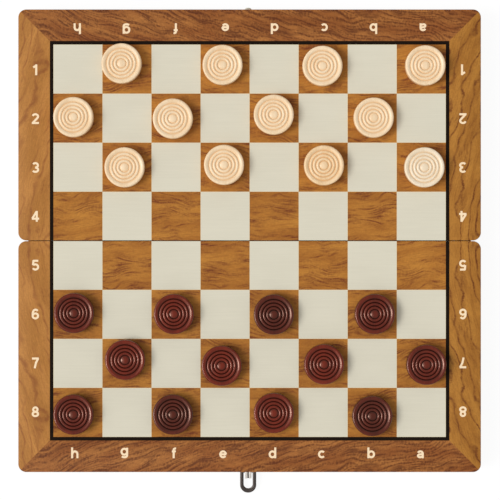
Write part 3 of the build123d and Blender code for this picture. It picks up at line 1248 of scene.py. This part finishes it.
    def cut_hinge_seats(self, made: bpy.types.Object) -> None:
        """Takes the seats of the hinges' leaves and barrels out of the fold rail.

        Args:
            made: The rail along the fold.
        """
        for side in ("left", "right"):
            low, high = (Vector(corner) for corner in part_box(f"hinge_{side}_far_leaf"))
            middle = (low.x + high.x) / 2
            half = (high.x - low.x) / 2 + self.seat_slack
            left, right = middle - half, middle + half
            radius, depth = self.seat_slack - low.z, high.y + self.leaf_slack
            barrel = arc((0.0, 0.0), radius, 0, 360, steps=32)[:-1]
            cutter = solid_from_plan("seat", barrel, left, right)
            cutter.data.transform(FROM_SIDE)
            pocket = [(left, -depth), (right, -depth), (right, depth), (left, depth)]
            leaf = solid_from_plan("seat", pocket, -radius, self.leaf_depth)
            for tool in (cutter, leaf):
                carve(made, tool)

    def cut_plate_seat(self, made: bpy.types.Object) -> None:
        """Takes the seat of the latch's or the keeper's plate out of the outer rail.

        Args:
            made: The outer rail.
        """
        near = self.half is Half.NEAR
        low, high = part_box("latch_plate" if near else "keeper_plate")
        slack, beyond = self.plate_slack, self.sizes.edge + 1.0 * MM
        lower, upper = (low[0] - slack, low[2] - slack), (high[0] + slack, high[2] + slack)
        plan = rounded(lower, upper, self.plate_corner)
        span = (-beyond, high[1] + slack) if near else (low[1] - slack, beyond)
        tool = solid_from_plan("seat", plan, *span)
        tool.data.transform(FROM_FRONT)
        carve(made, tool)

    def band(self, side: str) -> None:
        """Builds one veneered border band with its soft outer arris.

        Args:
            side: outer, left or right.
        """
        size = self.sizes
        name = f"{self.half.value}_{self.own_side(side)}_border"
        plan = self.member_plan(side, size.border, mitred_at_fold=False)
        made = solid_from_plan(name, plan, size.ground, size.height)
        outline = len(plan) - 2
        top = {tuple(made.data.vertices[len(plan) + i].co) for i in range(outline)}
        soften(made, size.arris, lambda a, b: tuple(a) in top and tuple(b) in top)
        settle(made)
        made.data.transform(self.half.turn)
        if side == "outer":
            dress(made, self.book.of(BROWN_BAND))
            hand_over(made, self.half.body, [name])
        else:
            dress(made, self.book.of(LEFT_BAND if "left" in name else RIGHT_BAND))
            hand_over(made, self.half.body, [name])

    def squares(self, dark: bool) -> None:
        """Lays the half's dark or light squares.

        Args:
            dark: Whether they are the dark ones.
        """
        size = self.sizes
        word = "dark" if dark else "light"
        name = f"{self.half.value}_{word}_squares"
        finish = self.book.of(GOLDEN_SQUARES if dark else PALE_SQUARES)
        angle = math.pi if self.half is Half.NEAR else 0.0
        made = self.tiles.run(
            name, bpy.data.meshes.new(name), Square=size.square, Thickness=size.veneer,
            Ground=size.ground, Trim=size.fold_face, Columns=8, Rows=4, Parity=0 if dark else 1,
            Turn=(0.0, 0.0, angle), Material=finish,
        )
        hand_over(made, self.half.body, [name])

    def build(self) -> None:
        """Builds and dresses every wooden piece of the half."""
        for side in ("outer", "fold", "left", "right"):
            self.rail(side)
        for side in ("outer", "left", "right"):
            self.band(side)
        for dark in (False, True):
            self.squares(dark)
        for node, finish in (("panel", PANEL_PLY), ("line", BLACK_LINE)):
            dress(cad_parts[f"{self.half.value}_{node}"], self.book.of(finish))


def bow(middle: Point, reach: Point, start: float, end: float) -> list[Point]:
    """Returns a stroke along an ellipse.

    Args:
        middle: The ellipse's centre.
        reach: Its half width and half height.
        start: Angle of its first point in degrees.
        end: Angle of its last point in degrees, 360 further for a closed ring.

    Returns:
        Points in cap heights.
    """
    steps = max(4, round(abs(end - start) / 12))
    turns = arc((0.0, 0.0), 1.0, start, end, steps)
    return [(middle[0] + reach[0] * x, middle[1] + reach[1] * y) for x, y in turns]


# Strokes of each character, in cap heights from the middle of its foot
STROKES: dict[str, list[list[Point]]] = {
    "a": [
        [(0.2, 0.0), (0.2, 0.44)] + bow((-0.02, 0.44), (0.22, 0.195), 0, 160)[1:],
        [(0.2, 0.4), (-0.05, 0.355)],
        bow((-0.06, 0.225), (0.18, 0.13), 85, 275) + [(0.2, 0.16)],
    ],
    "b": [[(-0.26, 0.0), (-0.26, 1.0)], bow((0.0, 0.365), (0.26, 0.27), 0, 360)],
    "c": [bow((0.0, 0.365), (0.26, 0.27), 42, 318)],
    "d": [[(0.26, 0.0), (0.26, 1.0)], bow((0.0, 0.365), (0.26, 0.27), 0, 360)],
    "e": [[(-0.26, 0.365), (0.3, 0.365)], bow((0.0, 0.365), (0.26, 0.27), 0, 325)],
    "f": [
        [(0.0, 0.0), (0.0, 0.8)] + bow((0.17, 0.8), (0.17, 0.105), 180, 75)[1:],
        [(-0.17, 0.635), (0.2, 0.635)],
    ],
    "g": [
        bow((0.0, 0.605), (0.26, 0.27), 0, 360),
        [(0.26, 0.97), (0.26, 0.26)] + bow((0.0, 0.26), (0.26, 0.165), 0, -150)[1:],
    ],
    "h": [
        [(-0.26, 0.0), (-0.26, 1.0)],
        bow((0.0, 0.4), (0.23, 0.235), 180, 0) + [(0.23, 0.0)],
    ],
    "1": [[(0.08, 0.0), (0.08, 1.0)], [(0.1, 0.9), (-0.19, 0.72)]],
    "2": [
        bow((0.0, 0.7), (0.25, 0.205), 165, -40) + [(-0.24, 0.1)],
        [(-0.33, 0.095), (0.33, 0.095)],
    ],
    "3": [
        bow((0.0, 0.7), (0.235, 0.205), 150, -90),
        bow((0.0, 0.29), (0.255, 0.195), 95, -150),
    ],
    "4": [
        [(0.13, 0.97), (-0.28, 0.3)], [(-0.33, 0.28), (0.35, 0.28)], [(0.13, 0.0), (0.13, 1.0)],
    ],
    "5": [
        [(-0.21, 0.905), (0.27, 0.905)],
        [(-0.17, 0.95), (-0.22, 0.5)],
        bow((0.0, 0.335), (0.255, 0.24), 140, -150),
    ],
    "6": [bow((0.0, 0.325), (0.25, 0.23), 0, 360), bow((0.02, 0.5), (0.27, 0.405), 45, 190)],
    "7": [[(-0.31, 0.905), (0.31, 0.905)], [(0.27, 0.92), (0.05, 0.5), (-0.06, 0.0)]],
    "8": [bow((0.0, 0.7), (0.2, 0.2), 0, 360), bow((0.0, 0.29), (0.25, 0.195), 0, 360)],
}


@dataclass
class Coordinates:
    """The printed files and ranks along the borders of one half, drawn with a flat pen."""

    half: Half
    book: FinishBook
    pen: PenRule
    sizes: BoardSizes = SIZES
    files: str = "hgfedcba"
    height: float = 8.15 * MM
    pen_width: float = 0.19
    film: float = 0.03 * MM
    letter_foot: float = 10.5 * MM
    letter_pitch: float = 37.35 * MM
    near_shift: float = -1.4 * MM
    far_shift: float = 0.25 * MM
    digit_pitch: float = 36.95 * MM
    left_inset: float = 12.95 * MM
    right_inset: float = 13.65 * MM

    def write(self, glyph: str, foot: Point, turned: bool, chains: list[list[Point]]) -> None:
        """Adds one character's strokes to the chains.

        Args:
            glyph: The character.
            foot: Where the middle of its foot stands.
            turned: Whether it is read from the far side.
            chains: The strokes drawn so far, in metres.
        """
        way = -self.height if turned else self.height
        for stroke in STROKES[glyph]:
            chains.append([(foot[0] + way * x, foot[1] + way * y) for x, y in stroke])

    def strokes(self) -> list[list[Point]]:
        """Draws the half's eight letters and eight digits.

        Returns:
            The strokes' points, in metres.
        """
        far = self.half is Half.FAR
        chains: list[list[Point]] = []
        line = self.sizes.edge - self.letter_foot
        shift = self.far_shift if far else self.near_shift
        for column, letter in enumerate(self.files):
            x = (column - 3.5) * self.letter_pitch + shift
            self.write(letter, (x, line if far else -line), far, chains)
        for rank in range(1, 5) if far else range(5, 9):
            y = (4.5 - rank) * self.digit_pitch
            left = (self.left_inset - self.sizes.edge, y - self.height / 2)
            right = (self.sizes.edge - self.right_inset, y + self.height / 2)
            self.write(str(rank), left, False, chains)
            self.write(str(rank), right, True, chains)
        return chains

    def build(self) -> None:
        """Prints the characters as a thin film of ink on the veneer."""
        points: list[tuple] = []
        edges: list[tuple[int, int]] = []
        level = self.sizes.height + self.film / 2
        for stroke in self.strokes():
            first, closed = len(points), math.dist(stroke[0], stroke[-1]) < 1e-6
            kept = stroke[:-1] if closed else stroke
            points += [(x, y, level) for x, y in kept]
            edges += [(i, i + 1) for i in range(first, len(points) - 1)]
            if closed:
                edges.append((len(points) - 1, first))
        name = f"{self.half.value}_coordinates"
        base = bpy.data.meshes.new(name)
        base.from_pydata(points, edges, [])
        made = self.pen.run(
            name, base, Pen=self.pen_width * self.height, Film=self.film,
            Material=self.book.of(CREAM_INK),
        )
        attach(made, self.half.body)
        LOG.info("%s printed on %s", name, self.half.body)


# Hardware


@dataclass
class Hardware:
    """Hinges, latch plate, keeper and their screws."""

    book: FinishBook
    screws: ScrewRule
    head_radius: float = 1.6 * MM
    head_depth: float = 0.75 * MM
    shank_radius: float = 0.9 * MM
    slot_width: float = 0.45 * MM
    hinge_screw: float = 9.0 * MM
    latch_screw: float = 7.0 * MM
    leaf_easing: float = 0.12 * MM
    plate_easing: float = 0.15 * MM
    nose_trim: float = 0.68
    slit_middle: float = -1.1 * MM
    slit_half: float = 0.5 * MM
    slit_reach: float = 0.3 * MM
    off_wall: float = 0.01 * MM
    # Sheet of painted shade in the tongue's slit: its slack to the slit's sides, and its side
    # outline as Y and Z in millimetres
    web_slack: float = 0.02 * MM
    web_side: tuple[Point, ...] = (
        (-175.05, 2.9), (-177.8, 2.9), (-181.4, 3.9), (-181.4, 4.9),
        (-178.2, 5.1), (-177.9, 3.4), (-175.05, 3.4),
    )

    def cleaned(self, node: str) -> bpy.types.Mesh:
        """Welds a copy of a node's mesh and makes its flat faces whole again.

        Args:
            node: The node's name.

        Returns:
            The copy.
        """
        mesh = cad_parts[node].data.copy()
        work = bmesh.new()
        work.from_mesh(mesh)
        bmesh.ops.remove_doubles(work, verts=work.verts, dist=1e-6)
        bmesh.ops.dissolve_limit(
            work, angle_limit=math.radians(1.0), verts=work.verts, edges=work.edges
        )
        work.to_mesh(mesh)
        work.free()
        return mesh

    def eased(self, node: str, body: str, finish: Metal, width: float) -> None:
        """Stands a copy with eased edges in for a small metal node.

        Args:
            node: The node's name.
            body: The body it belongs to.
            finish: Its finish.
            width: How wide its edges are eased.
        """
        made = add_object(f"{node}_eased", self.cleaned(node))
        if node == "keeper_plate":
            self.trim_nose(made.data)
        if node == "latch_plate":
            self.open_slit(made.data)
        bevel = made.modifiers.new("eased edges", "BEVEL")
        bevel.limit_method = "ANGLE"
        bevel.angle_limit = math.radians(50)
        bevel.width = width
        bevel.segments = 2
        settle(made)
        dress(made, self.book.of(finish))
        hand_over(made, body, [node])

    def open_slit(self, mesh: bpy.types.Mesh) -> None:
        """Opens the slit in the plate's tongue a little, as the photographed one is.

        Args:
            mesh: The latch plate's mesh.
        """
        for point in mesh.vertices:
            aside = point.co.x - self.slit_middle
            if point.co.y < -SIZES.edge - self.off_wall and abs(aside) < self.slit_reach:
                point.co.x = self.slit_middle + math.copysign(self.slit_half, aside)

    def web(self) -> None:
        """Puts a sheet of painted shade in the foot of the tongue's slit, below the bail's bar."""
        plan = [(y * MM, z * MM) for y, z in self.web_side]
        middle, half = self.slit_middle, self.slit_half - self.web_slack
        made = solid_from_plan("tongue_slit_shade", plan, middle - half, middle + half)
        made.data.transform(FROM_SIDE)
        settle(made)
        dress(made, self.book.of(SLIT_SHADE))
        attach(made, Half.NEAR.body)

    def trim_nose(self, mesh: bpy.types.Mesh) -> None:
        """Draws the keeper's nose in a little, as the photographed one is.

        Args:
            mesh: The keeper plate's mesh.
        """
        wall = SIZES.edge
        for point in mesh.vertices:
            if point.co.y > wall + self.off_wall:
                point.co.y = wall + (point.co.y - wall) * self.nose_trim

    def heads(self, node: str, axis: int, facing: int) -> list[tuple]:
        """Finds the middle of each screw's head in a node of several screws.

        Args:
            node: The node's name.
            axis: The axis that the shanks run along, 0 to 2.
            facing: The way the shanks point on it, 1 or -1.

        Returns:
            The points, in a fixed order.
        """
        work = bmesh.new()
        work.from_mesh(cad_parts[node].data)
        bmesh.ops.remove_doubles(work, verts=work.verts, dist=1e-6)
        left, found = set(work.verts), []
        while left:
            island, edge = set(), {left.pop()}
            while edge:
                island |= edge
                near = {other for vert in edge for link in vert.link_edges for other in link.verts}
                edge = near - island
            left -= island
            low = [min(vert.co[i] for vert in island) for i in range(3)]
            high = [max(vert.co[i] for vert in island) for i in range(3)]
            middle = [(a + b) / 2 for a, b in zip(low, high)]
            middle[axis] = low[axis] if facing > 0 else high[axis]
            found.append(tuple(middle))
        work.free()
        return sorted(found)

    def screw_set(self, node: str, body: str, axis: int, facing: int, length: float) -> None:
        """Drives a node's slotted screws.

        Args:
            node: The node's name.
            body: The body it belongs to.
            axis: The axis that the shanks run along, 1 or 2.
            facing: The way the shanks point on it, 1 or -1.
            length: Length over all.
        """
        base = bpy.data.meshes.new(node)
        base.from_pydata(self.heads(node, axis, facing), [], [])
        turn = (-facing * math.pi / 2, 0.0, 0.0) if axis == 1 else (0.0, 0.0, 0.0)
        made = self.screws.run(
            f"{node}_slotted", base, Head_Radius=self.head_radius,
            Head_Depth=self.head_depth, Shank_Radius=self.shank_radius, Length=length,
            Slot_Width=self.slot_width, Facing=turn, Seed=len(node),
            Material=self.book.of(SCREW_STEEL),
        )
        hand_over(made, body, [node])

    def build(self) -> None:
        """Builds and dresses all the metal but the bail, and the painted shade in the tongue's
        slit.
        """
        near, far = Half.NEAR.body, Half.FAR.body
        for side in ("left", "right"):
            for half in Half:
                node = f"hinge_{side}_{half.value}_leaf"
                self.eased(node, half.body, HINGE_BRASS, self.leaf_easing)
            dress(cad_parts[f"hinge_{side}_pin"], self.book.of(HINGE_BRASS))
        self.eased("latch_plate", near, NICKEL, self.plate_easing)
        # Painted shade in the tongue's slit
        self.web()
        self.eased("keeper_plate", far, DULL_PLATE, self.plate_easing)
        for node, body, axis, facing, length in (
            ("hinge_near_screws", near, 2, 1, self.hinge_screw),
            ("hinge_far_screws", far, 2, 1, self.hinge_screw),
            ("latch_screws", near, 1, 1, self.latch_screw),
            ("keeper_screws", far, 1, -1, self.latch_screw),
        ):
            self.screw_set(node, body, axis, facing, length)


@dataclass
class Bail:
    """The latch's closed loop: a bar, two legs and a round toe that widens to a lip."""

    book: FinishBook
    pivot: tuple[float, float, float] = (-1.1 * MM, -176.5 * MM, 4.5 * MM)
    half_width: float = 6.19 * MM
    toe: float = 16.6 * MM
    window_half: float = 3.45 * MM
    window_middle: float = 9.75 * MM
    thickness: float = 2.1 * MM
    bar_radius: float = 0.72 * MM
    bar_half: float = 5.4 * MM
    groove: float = 0.35
    groove_place: float = 0.42
    groove_spread: float = 0.14
    head_thinning: float = 0.35
    squareness: float = 0.7
    section_steps: int = 24
    toe_steps: int = 28

    @property
    def tilt(self) -> float:
        """Angle by which the bail hangs, found from its node's lowest point."""
        low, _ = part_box("latch_bail")
        return math.asin((self.pivot[2] - low[2] - self.thickness / 2) / self.toe)

    def outline(self, half: float, middle: float) -> list[Point]:
        """Returns points down one leg, round the toe and up the other one.

        Args:
            half: Half the outline's width.
            middle: How far its toe's centre lies from the pivot.

        Returns:
            Points in the bail's plane, with the pivot at the origin and the toe towards -Y.
        """
        above = [1.9 * self.bar_radius * share for share in (0.55, 0.35, 0.15)]
        below = [-middle * share for share in (0.0, 0.25, 0.5, 0.75)]
        left = [(-half, y) for y in above + below]
        toe = [(x, y - middle) for x, y in arc((0.0, 0.0), half, 180, 360, self.toe_steps)]
        return left + toe + [(-x, y) for x, y in reversed(left)]

    def section(self, outer: Point, inner: Point) -> list[tuple]:
        """Returns the points of one section, from the window's edge to the outline.

        Args:
            outer: Point on the outline.
            inner: Point on the window's edge.

        Returns:
            The points round the section, in the bail's own frame.
        """
        (x0, y0), (x1, y1) = outer, inner
        rise = max(0.0, min(1.0, (-y0 - 0.6 * self.toe) / (0.4 * self.toe)))
        thick = self.thickness / 2
        if y0 > 0:
            thick = math.sqrt(max(thick**2 - y0**2, (self.head_thinning * thick) ** 2))
        points = []
        for i in range(self.section_steps):
            angle = 2 * math.pi * i / self.section_steps
            turn = (math.cos(angle), math.sin(angle))
            wide, tall = (math.copysign(abs(v) ** self.squareness, v) for v in turn)
            share = (wide + 1) / 2
            if tall > 0:
                off = (share - self.groove_place) / self.groove_spread
                tall *= 1 - self.groove * rise * math.exp(-(off**2))
            points.append((x1 + (x0 - x1) * share, y1 + (y0 - y1) * share, thick * tall))
        return points

    def build(self) -> None:
        """Builds and dresses the bail."""
        outer = self.outline(self.half_width, self.toe - self.half_width)
        inner = self.outline(self.window_half, self.window_middle)
        points = [point for pair in zip(outer, inner) for point in self.section(*pair)]
        rings, count = len(outer), self.section_steps
        faces = [tuple(range(count)), tuple(range((rings - 1) * count, rings * count))]
        for ring in range(0, (rings - 1) * count, count):
            for i in range(count):
                j = (i + 1) % count
                faces.append((ring + i, ring + j, ring + count + j, ring + count + i))
        made = solid("bail", points, faces)
        circle = arc((0.0, 0.0), self.bar_radius, 0, 360, 24)[:-1]
        bar = solid_from_plan("bar", circle, -self.bar_half, self.bar_half)
        bar.data.transform(FROM_SIDE)
        join = made.modifiers.new("bar", "BOOLEAN")
        join.operation, join.object, join.solver = "UNION", bar, "EXACT"
        settle(made)
        bpy.data.objects.remove(bar)
        made.data.transform(Matrix.Translation(self.pivot) @ Matrix.Rotation(self.tilt, 4, "X"))
        dress(made, self.book.of(BLACKENED_STEEL))
        hand_over(made, "bail", ["latch_bail"])


# Checkers


@dataclass
class Checker:
    """One turned checker: a foot, a rounded rim, four rings and a boss."""

    node: str
    book: FinishBook
    turning: TurningRule
    pitch: float = 2.63 * MM
    rings: int = 4
    depth: float = 0.85 * MM
    crest_drop: float = 0.25 * MM
    foot: float = 0.9 * MM
    shoulder: float = 1.2 * MM
    rim_width: float = 1.42
    ridge_fullness: float = 0.95
    turning_ring: float = 1.0 * MM
    ring_steps: int = 8
    segments: int = 96

    @property
    def box(self) -> tuple[Vector, Vector]:
        """The node's lowest and highest corner."""
        low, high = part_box(self.node)
        return Vector(low), Vector(high)

    def ridge(self, inner: float, outer: float, valley: float, crest: float) -> list[Point]:
        """Draws the rounded ridge from an outer valley to an inner one.

        Args:
            inner: Radius of the inner valley.
            outer: Radius of the outer valley.
            valley: Height of both valleys.
            crest: Height of the crest.

        Returns:
            Radius and height of each point.
        """
        middle, reach, rise = (inner + outer) / 2, (outer - inner) / 2, crest - valley
        shares = [1 - 2 * i / self.ring_steps for i in range(self.ring_steps)]
        return [
            (middle + reach * s, valley + rise * (1 - s * s) ** self.ridge_fullness) for s in shares
        ]

    def profile(self) -> list[Point]:
        """Half profile from the middle of the foot to the middle of the boss.

        Returns:
            Radius and height of each point, from a foot at height zero.
        """
        low, high = self.box
        radius, top = (high.x - low.x) / 2, high.z - low.z
        crest, valley = top - self.crest_drop, top - self.crest_drop - self.depth
        rim_valley, shoulder = radius - self.rim_width * self.pitch, self.shoulder
        points = [(0.0, 0.0), (radius - self.foot, 0.0)]
        points += arc((radius - self.foot, self.foot), self.foot, -90, 0, steps=5)[1:]
        points += arc((radius - shoulder, top - shoulder), shoulder, 0, 90, steps=8)
        points += self.rim_fall(radius - shoulder, rim_valley, top, valley)
        outer = rim_valley
        for _ in range(self.rings - 1):
            points += self.ridge(outer - self.pitch, outer, valley, crest)
            outer -= self.pitch
        points += [
            (outer * math.cos(a), valley + (crest - valley) * math.sin(a))
            for a in (math.radians(90 * i / self.ring_steps) for i in range(self.ring_steps))
        ]
        points.append((0.0, crest))
        return points

    def rim_fall(self, start: float, end: float, top: float, valley: float) -> list[Point]:
        """Draws the curve from the rim's crest down into the first valley.

        Args:
            start: Radius of the rim's crest.
            end: Radius of the first valley.
            top: Height of the crest.
            valley: Height of the valley.

        Returns:
            Radius and height of each point.
        """
        steps = self.ring_steps
        return [
            (start + (end - start) * i / steps, top - (top - valley) * (i / steps) ** 2)
            for i in range(1, steps)
        ]

    def build(self) -> None:
        """Builds and dresses the checker."""
        low, high = self.box
        word, _, square = self.node.split("_")
        finish = ODD_CHECKERS.get(square, PALE if word == "pale" else DARK)
        ring, chain = self.turning_ring, self.profile()
        links = [(i, i + 1) for i in range(len(chain) - 1)]
        base = bpy.data.meshes.new(self.node)
        base.from_pydata([(r - ring, -z, 0.0) for r, z in chain], links, [])
        centre = ((low.x + high.x) / 2, (low.y + high.y) / 2, low.z)
        made = self.turning.run(
            f"{self.node}_turned", base, Segments=self.segments, Ring=ring, Centre=centre,
            Material=self.book.of(finish),
        )
        hand_over(made, self.node, [self.node])


# Studio


@dataclass
class Studio:
    """Pale floor, soft light from the left and a camera straight above.

    Each sun is a strength and its width in degrees; a narrow one gives the glints and a
    wide one the shadows' long soft ends.
    """

    sizes: BoardSizes = SIZES
    photo_width: float = 378.2 * MM
    aim: Point = (0.3 * MM, -7.0 * MM)
    camera_height: float = 1.8
    sensor: float = 36.0
    floor_size: float = 8.0
    suns: tuple[Point, ...] = ((1.5, 24.0), (0.65, 60.0))
    sun_turn: Point = (6.0, -38.0)
    world_strength: float = 0.45
    floor_grey: float = 0.09
    floor_glow: float = 0.93
    floor_bounce: float = 0.75

    def camera(self) -> None:
        """Sets the camera above the board, framed as the photograph."""
        lens = bpy.data.cameras.new("camera")
        lens.sensor_width = self.sensor
        lens.lens = self.sensor * self.camera_height / self.photo_width
        lens.clip_end = 100.0
        holder = bpy.data.objects.new("camera", lens)
        holder.location = (*self.aim, self.sizes.height + self.camera_height)
        bpy.context.scene.collection.objects.link(holder)
        bpy.context.scene.camera = holder

    def floor(self) -> None:
        """Lays the floor under the lowest point of the set."""
        level = CAD_BOX[0][2]
        half = self.floor_size / 2
        plan = ((-half, -half), (half, -half), (half, half), (-half, half))
        corners = [(x, y, level) for x, y in plan]
        mesh = bpy.data.meshes.new("floor")
        mesh.from_pydata(corners, [], [(0, 1, 2, 3)])
        made = add_object("floor", mesh)
        material = bpy.data.materials.new("floor")
        material.use_nodes = True
        sketch = NodeSketch(material.node_tree)
        ray = sketch.add("ShaderNodeLightPath").outputs
        seen = sketch.math("MAXIMUM", ray["Is Camera Ray"], ray["Is Glossy Ray"])
        seen = sketch.math("MAXIMUM", seen, ray["Is Transmission Ray"])
        grey, plain = (
            sketch.add("ShaderNodeBsdfDiffuse", {"Color": (tone, tone, tone, 1.0)}).outputs[0]
            for tone in (self.floor_grey, self.floor_bounce)
        )
        glow = sketch.add("ShaderNodeEmission", {"Strength": self.floor_glow}).outputs[0]
        pale = sketch.add("ShaderNodeAddShader", {0: grey, 1: glow}).outputs[0]
        mixed = sketch.add("ShaderNodeMixShader", {0: seen, 1: plain, 2: pale}).outputs[0]
        sketch.add("ShaderNodeOutputMaterial", {"Surface": mixed})
        dress(made, material)

    def light(self) -> None:
        """Lights the set softly from the left, under a plain pale sky."""
        for strength, width in self.suns:
            lamp = bpy.data.lights.new("sun", "SUN")
            lamp.energy = strength
            lamp.angle = math.radians(width)
            holder = bpy.data.objects.new("sun", lamp)
            holder.rotation_euler = (*map(math.radians, self.sun_turn), 0.0)
            bpy.context.scene.collection.objects.link(holder)
        world = bpy.data.worlds.new("sky")
        world.use_nodes = True
        sketch = NodeSketch(world.node_tree)
        ray = sketch.add("ShaderNodeLightPath").outputs
        seen = sketch.math("MAXIMUM", ray["Is Camera Ray"], ray["Is Transmission Ray"])
        white = (1.0, 1.0, 1.0, 1.0)
        lit, shown = (
            sketch.add("ShaderNodeBackground", {"Color": white, "Strength": strength}).outputs[0]
            for strength in (self.world_strength, 1.0)
        )
        mixed = sketch.add("ShaderNodeMixShader", {0: seen, 1: lit, 2: shown}).outputs[0]
        sketch.add("ShaderNodeOutputWorld", {"Surface": mixed})
        bpy.context.scene.world = world

    def build(self) -> None:
        """Sets up the studio."""
        self.floor()
        self.light()
        self.camera()
        bpy.context.scene.view_settings.view_transform = "Standard"


def main() -> None:
    """Builds the set's sub-assemblies in order."""
    logging.basicConfig(level=logging.INFO, format="%(message)s")
    book = FinishBook()
    tiles, pen, turning, screws = TileRule(), PenRule(), TurningRule(), ScrewRule()
    for half in Half:
        TrayHalf(half, book, tiles).build()
        Coordinates(half, book, pen).build()
    Hardware(book, screws).build()
    Bail(book).build()
    for node in sorted(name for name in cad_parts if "checker" in name):
        Checker(node, book, turning).build()
    Studio().build()


if __name__ == "__main__":
    main()
